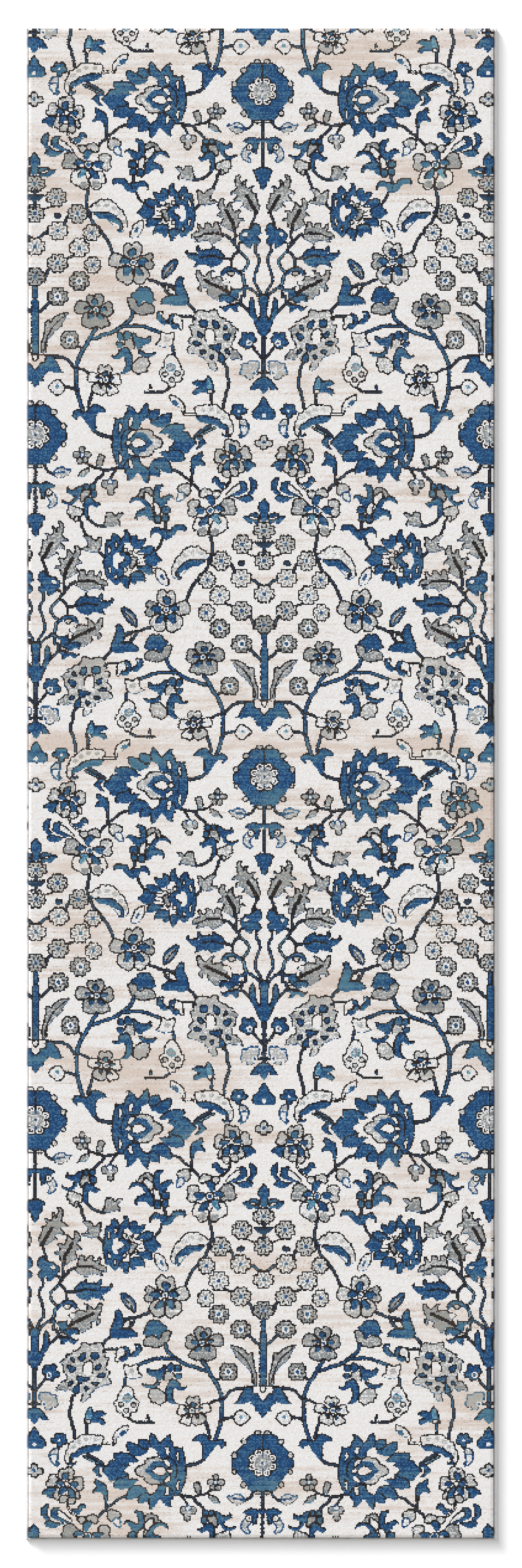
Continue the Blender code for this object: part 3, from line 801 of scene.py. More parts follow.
    def stars_and_leaf(self) -> None:
        """Draws the two jagged blue leaves, and the long leaf between them and the flower."""
        self.lined(Yarn.BLUE, (135, 275), (142, 274), (150, 280), (158, 286), (160, 292), (161, 299),
                   (160, 307), (156, 305), (150, 301), (145, 296), (140, 290), (137, 283))
        self.bare(Yarn.GREY, (141, 280), (148, 283), (154, 289), (158, 296), (158, 302), (151, 298),
                  (145, 291))
        self.stem(1.8, (140, 281), (148, 289), (155, 298), (157, 303), yarn=Yarn.LINE)
        self.blue((130, 302), (126, 305), (128, 310), (126, 318), (122, 328), (120, 333), (118, 340),
                  (120, 347), (130, 350), (142, 348), (162, 347), (163, 341), (158, 336), (151, 332),
                  (135, 333), (140, 328), (141, 318), (138, 308), (133, 302))
        self.white((152, 318), (142, 322), (137, 332), (150, 330))
        self.lined(Yarn.GREY, (218, 337), (212, 335), (203, 338), (200, 348), (197, 349), (188, 343),
                   (178, 346), (173, 352), (173, 360), (184, 362), (193, 364), (203, 361), (212, 355),
                   (215, 346))
        self.blue((211, 330), (203, 326), (202, 322), (196, 318), (192, 320), (187, 318), (181, 320),
                  (179, 325), (176, 329), (175, 336), (172, 340), (178, 345), (187, 342), (192, 342),
                  (197, 348), (200, 350), (202, 343), (203, 338), (211, 334))

    def pale_blossom(self) -> None:
        """Draws the great pale blossom with its blue buds, and the stems it grows on."""
        self.area(Yarn.SILVER, (106, 357), (100, 356), (93, 357), (85, 359), (80, 355), (72, 355),
                  (72, 362), (67, 368), (59, 370), (57, 374), (50, 375), (48, 377), (51, 380), (45, 382),
                  (42, 385), (38, 388), (43, 391), (44, 404), (49, 408), (50, 418), (41, 420), (39, 425),
                  (34, 428), (32, 438), (38, 434), (48, 437), (53, 432), (59, 438), (65, 440), (76, 439),
                  (74, 446), (72, 452), (76, 455), (82, 452), (87, 446), (87, 440), (92, 438), (94, 433),
                  (103, 430), (108, 427), (121, 425), (121, 419), (118, 415), (114, 412), (118, 410),
                  (119, 403), (112, 398), (114, 392), (116, 385), (118, 381), (110, 379), (112, 376),
                  (112, 370), foot=Yarn.BLUE)
        self.bare(Yarn.GREY, (48, 383), (56, 387), (58, 391), (50, 392), (49, 399), (46, 402), (46, 391),
                  (41, 387))
        self.bare(Yarn.GREY, (50, 420), (57, 419), (53, 426), (53, 431), (47, 435), (38, 432), (36, 435),
                  (36, 429), (41, 422))
        self.bare(Yarn.SILVER, (86, 438), (85, 446), (80, 451), (75, 454), (77, 446), (78, 440))
        self.bare(Yarn.SILVER, (113, 413), (118, 417), (118, 423), (104, 426), (92, 419), (100, 415))
        self.area(Yarn.GROUND, (92, 388), (86, 385), (79, 388), (75, 396), (76, 406), (83, 411), (90, 409),
                  (92, 399))
        for points in (
                ((100, 371), (89, 371.7), (88.3, 378), (89, 382.5), (95.8, 384), (101.7, 380)),
                ((80, 371), (71.7, 374), (68.3, 381.7), (70, 386), (75.8, 386), (79, 381)),
                ((105, 390), (99, 391.7), (94, 396.7), (98.3, 401.7), (103.3, 399)),
                ((112.5, 408), (105.8, 405.8), (98.3, 410), (100, 412.5), (109, 413)),
                ((100.8, 420.8), (90.8, 420.8), (90.8, 424), (96.7, 427.5), (100.8, 424)),
                ((63.3, 398), (59, 394), (50.8, 392.5), (50.8, 398), (55.8, 405), (60.8, 404)),
                ((60, 379), (56.7, 381), (56.7, 386), (63.3, 389)),
                ((85, 413), (76.7, 412.5), (68.3, 410), (65.8, 411.7), (68.3, 423), (71.7, 423),
                 (77.5, 419), (85, 417.5)),
                ((60, 419), (54, 419), (50.8, 427.5), (58.3, 425.8)),
                ((85, 430), (80, 426.7), (77.5, 431), (81.7, 436.7)),
                ((70, 430), (68.3, 422.5), (60.8, 430), (59, 438.3), (65, 440), (70, 438.3))):
            self.area(Yarn.BLUE, *points, foot=Yarn.LINE)
        self.stem(5.8, (63, 441), (59, 444), (57, 451), (57, 461), (54, 467), (54, 478), (58, 487),
                  (59, 495), (62, 503), (62, 513))
        self.stem(4.8, (129, 366), (120, 366), (114, 366), (108, 370))

    def lower_field(self) -> None:
        """Draws the buds, leaves and cluster in the lower part, between the folds."""
        self.blue((114, 475), (106, 469), (98, 470), (93, 472), (88, 461), (83, 467), (80, 475), (78, 484),
                  (78, 492), (86, 491), (92, 488), (98, 488), (106, 492), (109, 494), (112, 489),
                  (109, 483), (100, 481), (108, 478))
        self.bare(Yarn.TEAL, (90, 470), (88, 463), (84, 469), (81, 478), (81, 483), (90, 483))
        self.window((89, 484), (81, 484), (80, 490), (87, 491))
        self.stem(5.8, (82, 491), (82, 508))
        self.white((110, 513), (105, 510), (96, 510), (94, 508), (86, 509), (75, 508), (71, 511), (67, 515),
                   (62, 517), (60, 521), (54, 522), (52, 532), (48, 537), (48, 542), (47, 545), (47, 552),
                   (50, 557), (53, 560), (58, 555), (60, 547), (72, 540), (90, 534), (106, 528))
        for u, v in ((96, 517), (82, 516), (70, 521), (61, 529), (53, 543)):
            self.oval(Yarn.SILVER, u, v, 4.6, 3.4, edge=None)
        self.blue((108, 528), (100, 526), (90, 526), (80, 529), (70, 532), (65, 538), (58, 541), (55, 548),
                  (56, 553), (53, 558), (60, 561), (65, 559), (65, 554), (60, 558), (58, 553), (60, 549),
                  (67, 547), (75, 542), (78, 540), (86, 541), (89, 538), (100, 537), (105, 533))
        self.stem(5.8, (108, 524), (126, 524), yarn=Yarn.WHITE)
        self.stem(6.6, (84, 542), (89, 545), (98, 550), (103, 554), (108, 558))
        self.stem(7.2, (208, 358), (211, 369), (217, 375), (225, 381), (233, 387), (242, 392), (257, 396),
                  (265, 400), (275, 402), yarn=Yarn.BLUE)
        self.stem(6.6, (225, 382), (198, 381), (188, 383), (178, 387), (165, 392), yarn=Yarn.BLUE)
        self.blue((170, 360), (166, 358), (159, 358), (162, 366), (160, 369), (154, 373), (152, 379),
                  (160, 380), (167, 374), (170, 370))
        self.oval(Yarn.WHITE, 162.5, 361.5, 1.8, 1.8, edge=None)
        self.stem(4.8, (132, 366), (120, 366))
        self.white((142, 362), (135, 364), (129, 368), (128, 380), (127, 387), (133, 387), (136, 378),
                   (142, 378), (144, 370))
        self.blue((149, 364), (143, 362), (140, 361), (142, 368), (146, 372), (144, 378), (135, 379),
                  (134, 383), (138, 388), (146, 385), (149, 380), (152, 374))
        self.area(Yarn.SILVER, (222, 405), (212, 401), (208, 404), (205, 418), (212, 420), (222, 414))
        self.blue((234, 392), (225, 393), (223, 400), (224, 405), (233, 404))
        self.blue((235, 407), (226, 407), (224, 413), (228, 418), (234, 415))
        self.blue((223, 394), (220, 389), (215, 390), (210, 395), (211, 400), (217, 404), (222, 402))
        self.blue((210, 394), (206, 393), (200, 400), (189, 402), (184, 400), (182, 398), (179, 398),
                  (180, 408), (187, 412), (194, 414), (195, 419), (201, 419), (205, 412), (208, 403))
        self.lined(Yarn.SILVER, (196, 430), (183, 432), (183, 438), (181, 441), (182, 447), (186, 450),
                   (185, 455), (192, 455), (200, 460), (203, 457), (210, 453), (208, 440))
        self.blue((200, 421), (196, 420), (190, 425), (179, 426), (172, 423), (172, 428), (179, 432),
                  (190, 431), (197, 428))
        self.blue((231, 421), (225, 417), (219, 415), (214, 420), (209, 433), (210, 448), (213, 454),
                  (221, 458), (229, 458), (222, 452), (219, 442), (222, 430), (230, 434), (238, 435),
                  (242, 432), (242, 428), (237, 431), (232, 427))
        self.white((164, 392), (160, 391), (153, 395), (142, 391), (141, 398), (143, 403), (145, 412),
                   (148, 415), (158, 417), (172, 412), (172, 410), (165, 405), (164, 398), foot=Yarn.BLUE)
        self.oval(Yarn.SILVER, 154, 403, 5.5, 5.0, edge=None)
        self.stem(6.2, (144, 415), (142, 430), yarn=Yarn.BLUE)
        self.white((146, 426), (154, 430), (158, 438), (158, 448), (163, 450), (167, 456), (163, 464),
                   (162, 470), (153, 472), (151, 480), (141, 479), (139, 472), (133, 472), (129, 467),
                   (129, 461), (126, 460), (126, 453), (131, 450), (132, 443), (138, 433), (141, 429))
        for u, v in ((137, 458), (157, 459), (146, 468)):
            self.oval(Yarn.SILVER, u, v, 4.4, 4.0)
        self.area(Yarn.GREY, (155, 446), (148, 440), (140, 447), (143, 454), (151, 453), edge=Yarn.TEAL,
                  foot=Yarn.TEAL)
        self.stem(5.0, (149, 481), (154, 484), (159, 488), (179, 488), (189, 488))
        self.blue((181, 474), (178, 482), (183, 485))
        self.white((150, 492), (142, 494), (135, 498), (130, 502), (126, 508), (124, 517), (128, 527),
                   (130, 514), (138, 512), (147, 506), foot=Yarn.BLUE)
        self.bare(Yarn.BLUE, (146, 501), (139, 501), (134, 508), (139, 510), (145, 507))

    def lower_far(self) -> None:
        """Draws the star, leaves and flowers beside the lower part of the far fold."""
        self.stem(7.6, (268, 387), (274, 394), (278, 402), (283, 412), (290, 421), (294, 430), (298, 440),
                  (300, 450), (299, 481), (298, 489), (293, 508), (289, 518), yarn=Yarn.BLUE)
        self.stem(5.8, (348, 429), (333, 431), (322, 432), (313, 436), (308, 442), (303, 449))
        self.stem(5.2, (298, 449), (288, 452), (281, 456))
        self.stem(4.8, (302, 412), (292, 417))
        self.stem(5.8, (318, 479), (304, 482), (300, 486))
        self.stem(6.0, (274, 488), (277, 498), (281, 513))
        self.stem(6.6, (272, 549), (265, 555), (257, 558), (245, 560))
        self.white((372, 439), (366, 439), (362, 435), (361, 428), (372, 428))
        self.stem(1.8, (375, 425), (348, 428), (321, 429), yarn=Yarn.LINE)
        self.area(Yarn.GREY, (311, 360), (321, 361), (330, 364), (338, 370), (341, 376), (344, 372),
                  (349, 373), (350, 386), (352, 398), (356, 408), (356, 420), (355, 426), (349, 426),
                  (348, 417), (348, 408), (342, 400), (335, 392), (325, 384), (321, 376), (316, 368),
                  foot=Yarn.BLUE)
        self.stem(2.4, (318, 365), (328, 373), (338, 383), (345, 396), (350, 410), (352, 422),
                  yarn=Yarn.LINE)
        self.blossom(310, 403.8, 14, 14, Yarn.GREY, arm=0.72, halo=True)
        self.blue((372, 455), (366, 453), (359, 445), (358, 441), (350, 440), (349, 429), (335, 430),
                  (334, 437), (331, 440), (327, 448), (325, 453), (320, 457), (333, 458), (346, 453),
                  (347, 458), (354, 464), (353, 470), (360, 471), (362, 477), (366, 481), (372, 477))
        self.white((346, 481), (341, 474), (334, 469), (327, 468), (322, 473), (318, 481), (322, 489),
                   (327, 493), (333, 493), (341, 485))
        self.oval(Yarn.TEAL, 330.8, 479, 3.2, 3.2, edge=None)
        self.lined(Yarn.SILVER, (266, 455), (262, 445), (258, 444), (255, 448), (248, 444), (242, 449),
                   (242, 455), (252, 464))
        self.blue((259, 457), (250, 454), (249, 458), (254, 463))
        self.white((279, 456), (268, 457), (262, 462), (262, 470), (272, 473), (282, 470), (281, 461))
        self.blue((270, 464), (264, 462), (259, 465), (262, 470))
        self.lined(Yarn.SILVER, (262, 472), (274, 477), (275, 486), (264, 492), (258, 494), (250, 488),
                   (252, 476))
        self.blue((264, 475), (257, 476), (260, 484))
        self.white((247, 473), (238, 477), (231, 486), (233, 490), (239, 491), (248, 495), (252, 484))
        self.blue((250, 474), (242, 481), (246, 485))
        self.white((248, 463), (238, 459), (230, 459), (230, 465), (227, 470), (228, 475), (234, 477),
                   (246, 472))
        self.blue((247, 467), (242, 463), (238, 466), (242, 472))
        self.oval(Yarn.WHITE, 252, 468.3, 5.6, 5.6)
        self.oval(Yarn.BLUE, 252, 468.3, 2.6, 2.6, edge=None)
        self.blue((306, 522), (302, 518), (297, 516), (292, 519), (283, 520), (277, 513), (273, 508),
                  (267, 508), (260, 511), (254, 515), (253, 521), (261, 520), (267, 524), (269, 528),
                  (269, 541), (268, 548), (275, 551), (280, 543), (284, 538), (288, 531), (292, 527),
                  (299, 528), (299, 534), (302, 532), (306, 527))

    def draw(self) -> None:
        """Draws every part of the pattern, the great shapes last."""
        self.upper_sprigs()
        self.scroll_lily()
        self.acanthus_leaves()
        self.blue_leaf_and_vine()
        self.centre_trunk()
        self.far_side()
        self.second_palmette()
        self.great_palmette()
        self.medallion()

    def dye(self, u: np.ndarray, v: np.ndarray) -> np.ndarray:
        """Gives each tuft its yarn.

        Args:
            u: How far each tuft is across the cartoon.
            v: How far each tuft is down the cartoon.

        Returns:
            The yarn of each tuft, as a number.
        """
        yarns = np.full(u.shape, int(Yarn.GROUND))
        turned = self.fold + self.far_fold - u
        for layer in ("field", "palmette", "medallion"):
            for patch in self.patches.get(layer, ()):
                for down in (0.0, -self.drop, self.drop):
                    patch.dye(turned if down else u, v + down, yarns)
        return yarns


@dataclass
class Placing:
    """How the cartoon is laid on the rug.

    Attributes:
        half_length: Half the rug's length, in millimetres.
        middle: Where the centre line lies at mid-length, to the right of the rug's middle.
        wander: How far the line strays to the left by each end.
        far_share: How much narrower the right half was woven than the left.
        head: How far above the rug's middle the cartoon starts.
        lag: The most that a repeat on the far fold sags towards the foot.
    """

    half_length: float = 1219.0
    middle: float = 5.4
    wander: float = 3.4
    far_share: float = 368.3 / 364.1
    head: float = 14.7
    lag: float = 7.8

    def on_cartoon(self, cartoon: Cartoon, x: np.ndarray, y: np.ndarray) -> tuple[np.ndarray, np.ndarray]:
        """Finds the point of the cartoon for each point of the rug.

        Args:
            cartoon: The pattern.
            x: Across the rug, in millimetres.
            y: Along the rug, in millimetres.

        Returns:
            How far across and how far down the cartoon each point is.
        """
        line = self.middle - self.wander * (y / self.half_length) ** 2
        u = np.where(x < line, line - x, (x - line) * self.far_share) + cartoon.fold
        u = np.where(u > cartoon.far_fold, 2 * cartoon.far_fold - u, u)
        v = self.head - y
        count = np.floor(v / cartoon.drop)
        v = v - cartoon.drop * count
        far = count % 2 == 1
        sag = self.lag * np.sin(math.pi * np.clip(v / cartoon.drop, 0, 1))
        u = np.where(far, cartoon.fold + cartoon.far_fold - u, u)
        return u, np.where(far, v - sag, v)


@dataclass(frozen=True)
class Lot:
    """A field of the rug that was woven from another dye lot, with soft ends.

    Attributes:
        x: Its middle across the rug, in millimetres.
        y: Its middle along the rug.
        across: Half its width.
        along: Half its length.
        strength: How far its yarns turn to the other lot.
    """

    x: float
    y: float
    across: float
    along: float
    strength: float

    def share(self, x: np.ndarray, y: np.ndarray) -> np.ndarray:
        """Gives how far each point of the rug turns to this lot.

        Args:
            x: Across the rug, in millimetres.
            y: Along the rug.

        Returns:
            From 0, not at all, to the lot's strength.
        """
        off = ((x - self.x) / self.across) ** 2 + ((y - self.y) / self.along) ** 2
        return self.strength * np.exp(-(off**1.5))


LOTS = (
    Lot(0, 1195, 420, 45, 0.7), Lot(330, 1190, 80, 40, 0.5), Lot(290, 985, 110, 45, 0.9),
    Lot(-230, 860, 90, 60, 0.5), Lot(-260, 745, 130, 70, 0.9), Lot(-150, 690, 80, 35, 1.0),
    Lot(-330, 960, 90, 60, 0.5), Lot(-190, 480, 90, 50, 0.7), Lot(300, 470, 70, 40, 0.4),
    Lot(-60, 160, 190, 40, 0.5), Lot(0, 60, 430, 26, 0.9), Lot(340, 70, 90, 40, 0.8),
    Lot(355, -60, 45, 75, 1.0), Lot(-340, 45, 110, 40, 0.7), Lot(-240, -130, 130, 40, 0.6),
    Lot(-240, -225, 140, 45, 1.0), Lot(-200, -455, 150, 45, 0.8), Lot(150, -470, 200, 22, 0.5),
    Lot(-40, -770, 200, 40, 0.7), Lot(260, -860, 110, 40, 0.7), Lot(330, -1010, 60, 40, 0.9),
    Lot(-250, -1160, 150, 45, 1.0), Lot(-340, -1040, 60, 50, 0.5), Lot(120, -330, 220, 30, 0.3),
)


# ---------------------------------------------------------------------------- finishes


def colour(code: str) -> tuple[float, float, float, float]:
    """Turns a web colour into linear light.

    Args:
        code: Six hexadecimal digits after a hash.

    Returns:
        Red, green, blue and an alpha of 1.
    """
    parts = [int(code[n : n + 2], 16) / 255 for n in (1, 3, 5)]
    linear = [p / 12.92 if p <= 0.04045 else ((p + 0.055) / 1.055) ** 2.4 for p in parts]
    return (*linear, 1.0)


def node(tree: bpy.types.NodeTree, kind: str, links: dict | None = None, **settings) -> bpy.types.Node:
    """Adds a shader node, sets it up and links its inputs.

    Args:
        tree: The node tree.
        kind: The node's type, without its ShaderNode prefix.
        links: The output, or the plain value, for each input, by name or by number.
        settings: The node's own properties.

    Returns:
        The new node.
    """
    made = tree.nodes.new(f"ShaderNode{kind}")
    for name, value in settings.items():
        setattr(made, name, value)
    for name, value in (links or {}).items():
        if isinstance(value, bpy.types.NodeSocket):
            tree.links.new(value, made.inputs[name])
        else:
            made.inputs[name].default_value = value
    return made


def blank(name: str) -> tuple[bpy.types.Material, bpy.types.NodeTree, bpy.types.Node]:
    """Makes a material with only a surface shader and its output.

    Args:
        name: The real material and how it was made.

    Returns:
        The material, its node tree and its surface shader.
    """
    material = bpy.data.materials.new(name)
    material.use_nodes = True
    tree = material.node_tree
    tree.nodes.clear()
    shader = node(tree, "BsdfPrincipled")
    node(tree, "OutputMaterial", {"Surface": shader.outputs[0]})
    return material, tree, shader


@dataclass(frozen=True)
class PileFinish:
    """Heat-set fibre in cut tufts: matt, with the heather of two plies in each dyed area.

    Attributes:
        base: The main ply of each yarn, in the order of the yarns.
        partner: Each yarn in the other dye lot.
        second: The second ply of each yarn.
        worn: The foot of the tufts, which shows where they are worn down.
        roughness: How matt the tips of the fibres are.
    """

    base: tuple[str, ...] = ("#e3e2e2", "#e4e3e3", "#7f8385", "#183f6a", "#3a6f90", "#27364d", "#1b1819",
                             "#a4a6a6")
    partner: tuple[str, ...] = ("#cdbfb5", "#d6d0c9", "#95948f", "#4b7589", "#7098a4", "#35607c",
                                "#37302d", "#a8a49e")
    second: tuple[str, ...] = ("#d5d0cb", "#b3b4b5", "#bfbfbd", "#38648a", "#7ba4b6", "#1a2433",
                               "#2c292a", "#dddcda")
    worn: str = "#857365"
    roughness: float = 0.92

    def ramp(self, tree: bpy.types.NodeTree, plies: tuple[str, ...],
             share: bpy.types.NodeSocket) -> bpy.types.NodeSocket:
        """Adds a stepped ramp with one colour for each yarn.

        Args:
            tree: The node tree.
            plies: The colour of each yarn.
            share: The output that picks the yarn, from 0 to 1.

        Returns:
            The ramp's colour output.
        """
        made = node(tree, "ValToRGB", {"Fac": share})
        ramp = made.color_ramp
        ramp.interpolation = "CONSTANT"
        while len(ramp.elements) < len(plies):
            ramp.elements.new(0.5)
        for number, code in enumerate(plies):
            ramp.elements[number].position = number / len(plies)
            ramp.elements[number].color = colour(code)
        return made.outputs["Color"]

    def build(self) -> bpy.types.Material:
        """Builds the material: dyed tufts, two plies, fine fibre, and a soft shading of tuft by tuft."""
        material, tree, shader = blank("cut_pile_heat_set_fibre")
        yarn = node(tree, "Attribute", attribute_name="yarn").outputs["Fac"]
        tuft = node(tree, "Attribute", attribute_name="tuft").outputs["Fac"]
        place = node(tree, "TexCoord").outputs["Object"]
        share = node(tree, "Math", {0: yarn, 1: 0.5}, operation="ADD").outputs[0]
        share = node(tree, "Math", {0: share, 1: 1 / len(self.base)}, operation="MULTIPLY").outputs[0]
        # The heather: single tufts and small clouds of 4 to 9 mm where the second ply comes up.
        cloud = node(tree, "TexNoise", {"Vector": place, "Scale": 190.0, "Detail": 3.0, "Roughness": 0.7})
        blend = node(tree, "Math", {0: cloud.outputs["Fac"], 1: tuft}, operation="ADD")
        plies = node(tree, "MapRange", {"Value": blend.outputs[0], "From Min": 0.98, "From Max": 1.24})
        twist = node(tree, "MixRGB", {"Fac": plies.outputs[0], "Color1": self.ramp(tree, self.base, share),
                                      "Color2": self.ramp(tree, self.second, share)})
        # The abrash: fields woven from another dye lot, ragged at their ends, and broken by runs
        # of weft a few rows high and a hand wide.
        wide = node(tree, "Mapping", {"Vector": place, "Scale": (0.55, 1.7, 1.0)})
        lot = node(tree, "TexNoise", {"Vector": wide.outputs[0], "Scale": 7.0, "Detail": 8.0,
                                      "Roughness": 0.74})
        ragged = node(tree, "MapRange", {"Value": tuft, "To Min": -0.06, "To Max": 0.06})
        runs = node(tree, "Mapping", {"Vector": place, "Scale": (0.05, 1.3, 1.0)})
        weft = node(tree, "TexNoise", {"Vector": runs.outputs[0], "Scale": 110.0, "Detail": 2.0})
        weft = node(tree, "MapRange", {"Value": weft.outputs["Fac"], "From Min": 0.3, "From Max": 0.7,
                                       "To Min": -0.07, "To Max": 0.07})
        placed = node(tree, "Attribute", attribute_name="lot").outputs["Fac"]
        placed = node(tree, "MapRange", {"Value": placed, "To Min": -0.03, "To Max": 0.10})
        lot = node(tree, "Math", {0: lot.outputs["Fac"], 1: ragged.outputs[0]}, operation="ADD")
        lot = node(tree, "Math", {0: lot.outputs[0], 1: weft.outputs[0]}, operation="ADD")
        lot = node(tree, "Math", {0: lot.outputs[0], 1: placed.outputs[0]}, operation="ADD")
        field_share = node(tree, "MapRange", {"Value": lot.outputs[0], "From Min": 0.48,
                                              "From Max": 0.64, "To Max": 1.0})
        dyed = node(tree, "MixRGB", {"Fac": field_share.outputs[0], "Color1": twist.outputs["Color"],
                                     "Color2": self.ramp(tree, self.partner, share)})
        # Where the other lot is strongest, some tufts are worn down to their dark foot.
        worn = node(tree, "MapRange", {"Value": tuft, "From Min": 0.8, "From Max": 0.92, "To Max": 0.5})
        worn = node(tree, "Math", {0: worn.outputs[0], 1: field_share.outputs[0]}, operation="MULTIPLY")
        dyed = node(tree, "MixRGB", {"Fac": worn.outputs[0], "Color1": dyed.outputs["Color"],
                                     "Color2": colour(self.worn)})
        # Each tuft catches a little more or less light, and the fibre tips show as a fine grain.
        grain = node(tree, "TexNoise", {"Vector": place, "Scale": 900.0, "Detail": 2.0, "Roughness": 0.6})
        lift = node(tree, "MapRange", {"Value": tuft, "To Min": 0.88, "To Max": 1.09})
        fine = node(tree, "MapRange", {"Value": grain.outputs["Fac"], "From Min": 0.3, "From Max": 0.7,
                                       "To Min": 0.93, "To Max": 1.06})
        light = node(tree, "Math", {0: lift.outputs[0], 1: fine.outputs[0]}, operation="MULTIPLY")
        shaded = node(tree, "VectorMath", {0: dyed.outputs["Color"]}, operation="SCALE")
        tree.links.new(light.outputs[0], shaded.inputs["Scale"])
        bump = node(tree, "Bump", {"Height": grain.outputs["Fac"], "Strength": 0.3, "Distance": 0.0004})
        tree.links.new(shaded.outputs[0], shader.inputs["Base Color"])
        tree.links.new(bump.outputs[0], shader.inputs["Normal"])
        shader.inputs["Roughness"].default_value = self.roughness
        shader.inputs["Sheen Weight"].default_value = 0.12
        shader.inputs["Sheen Roughness"].default_value = 0.5
        shader.inputs["Specular IOR Level"].default_value = 0.15
        return material


@dataclass(frozen=True)
class YarnFinish:
    """A spun, woven or coated material with a main and a second tone.

    Attributes:
        name: The real material and how it was made.
        tone: Its main colour.
        second: Its darker tone: painted shade where its threads or its fine relief lie low, and tone that
            varies at random in its cloudy places.
        thread: The spacing of its threads, in millimetres; 0 for a coat without any.
        mottle: How many millimetres its cloudy places measure.
        roughness: How matt it is.
        relief: How far its threads stand up, in millimetres.
    """

    name: str
    tone: str
    second: str
    thread: float
    mottle: float
    roughness: float
    relief: float = 0.15

    def build(self) -> bpy.types.Material:
        """Builds the material with its cloudy tones, painted shade low between its threads or in its fine
        relief, and, where it has any, its threads.
        """
        material, tree, shader = blank(self.name)
        place = node(tree, "TexCoord").outputs["Object"]
        cloud = node(tree, "TexNoise", {"Vector": place, "Scale": 1000 / self.mottle, "Detail": 4.0})
        height = node(tree, "TexNoise", {"Vector": place, "Scale": 1400.0, "Detail": 2.0}).outputs["Fac"]
        if self.thread:
            turns = 1000 / self.thread / 2
            weft = node(tree, "TexWave", {"Vector": place, "Scale": turns / math.pi, "Distortion": 0.4},
                        bands_direction="Y")
            warp = node(tree, "TexWave", {"Vector": place, "Scale": turns / math.pi, "Distortion": 0.4},
                        bands_direction="X")
            height = node(tree, "Math", {0: weft.outputs["Fac"], 1: warp.outputs["Fac"]},
                          operation="MAXIMUM").outputs[0]
        # The second tone comes up in two ways. Where the threads or the fine relief lie low, it is painted
        # shade in those hollows. Where the clouds are low, it is tone that varies at random.
        mottle_and_painted_shade = node(tree, "Math", {0: cloud.outputs["Fac"], 1: height}, operation="MULTIPLY")
        share = node(tree, "MapRange", {"Value": mottle_and_painted_shade.outputs[0], "From Min": 0.1, "From Max": 0.55})
        dyed = node(tree, "MixRGB", {"Fac": share.outputs[0], "Color1": colour(self.second),
                                     "Color2": colour(self.tone)})
        bump = node(tree, "Bump", {"Height": height, "Strength": 0.6, "Distance": self.relief * MM})
        tree.links.new(dyed.outputs["Color"], shader.inputs["Base Color"])
        tree.links.new(bump.outputs[0], shader.inputs["Normal"])
        shader.inputs["Roughness"].default_value = self.roughness
        shader.inputs["Specular IOR Level"].default_value = 0.2
        return material


# Jute-like base cloth, ivory tape and yarn, and the dried latex that locks the tufts.
GROUND_CLOTH = YarnFinish("woven_ground_cloth", "#d9cdb9", "#b9a98f", 1.8, 9.0, 0.9, 0.3)
WHIP_YARN = YarnFinish("spun_whip_stitch_yarn", "#f6f6f8", "#dcdce0", 0.7, 5.0, 0.88, 0.12)
TAPE = YarnFinish("woven_cotton_tape", "#efedea", "#d8d4ce", 0.9, 6.0, 0.9, 0.12)
THREAD = YarnFinish("twisted_sewing_thread", "#f2f0ec", "#cfcac2", 0.5, 3.0, 0.7, 0.05)
CORD = YarnFinish("plied_edge_cord", "#e6e1d8", "#c4bcae", 1.2, 4.0, 0.9, 0.15)
LATEX = YarnFinish("dried_latex_coat", "#cfc6b4", "#b0a58f", 0.0, 14.0, 0.75, 0.25)


# ---------------------------------------------------------------------------- the pieces


def show(name: str, mesh: bpy.types.Mesh, material: bpy.types.Material) -> bpy.types.Object:
    """Puts a mesh in the scene as a piece of the rug.

    Args:
        name: The piece's name.
        mesh: Its mesh, already in place.
        material: Its finish.

    Returns:
        The new piece.
    """
    mesh.materials.append(material)
    piece = bpy.data.objects.new(name, mesh)
    bpy.context.scene.collection.objects.link(piece)
    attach(piece, "root")
    log.info("%s: %d faces", name, len(mesh.polygons))
    return piece


@dataclass(frozen=True)
class Lattice:
    """A flat grid of cells, read back as rows and columns.

    Attributes:
        across: The number of cells across.
        along: The number of cells along.
    """

    across: int
    along: int

    def build(self, name: str) -> tuple[bpy.types.Mesh, np.ndarray, np.ndarray]:
        """Makes the grid.

        Args:
            name: The name of its mesh.

        Returns:
            The mesh, then the column and row of each corner, then those of each cell.
        """
        grid = bmesh.new()
        bmesh.ops.create_grid(grid, x_segments=self.across, y_segments=self.along, size=0.5)
        mesh = bpy.data.meshes.new(name)
        grid.to_mesh(mesh)
        grid.free()
        corners = np.empty(len(mesh.vertices) * 3, np.float32)
        mesh.vertices.foreach_get("co", corners)
        cells = np.empty(len(mesh.polygons) * 3, np.float32)
        mesh.polygons.foreach_get("center", cells)
        size = np.array((self.across, self.along))
        at_corner = np.rint((corners.reshape(-1, 3)[:, :2] + 0.5) * size).astype(int)
        at_cell = np.floor((cells.reshape(-1, 3)[:, :2] + 0.5) * size).astype(int)
        return mesh, at_corner, at_cell

    def unfold(self, mesh: bpy.types.Mesh, corner: np.ndarray, cell: np.ndarray, columns: int) -> None:
        """Lays a long grid out in columns side by side, so that it fills the square of its UV map.

        Args:
            mesh: The grid's mesh.
            corner: The column and row of each corner.
            cell: The column and row of each cell.
            columns: How many columns to lay it out in.
        """
        rows = math.ceil(self.along / columns)
        column = (cell[:, 1] // rows).repeat(4)
        used = np.empty(len(mesh.loops), np.int32)
        mesh.loops.foreach_get("vertex_index", used)
        at = corner[used].astype(float)
        across = (column + 0.03 + 0.94 * at[:, 0] / self.across) / columns
        along = 0.01 + 0.98 * (at[:, 1] - column * rows) / rows
        layer = mesh.uv_layers.new(name="OFBake")
        layer.data.foreach_set("uv", np.stack([across, along], axis=1).astype(np.float32).ravel())


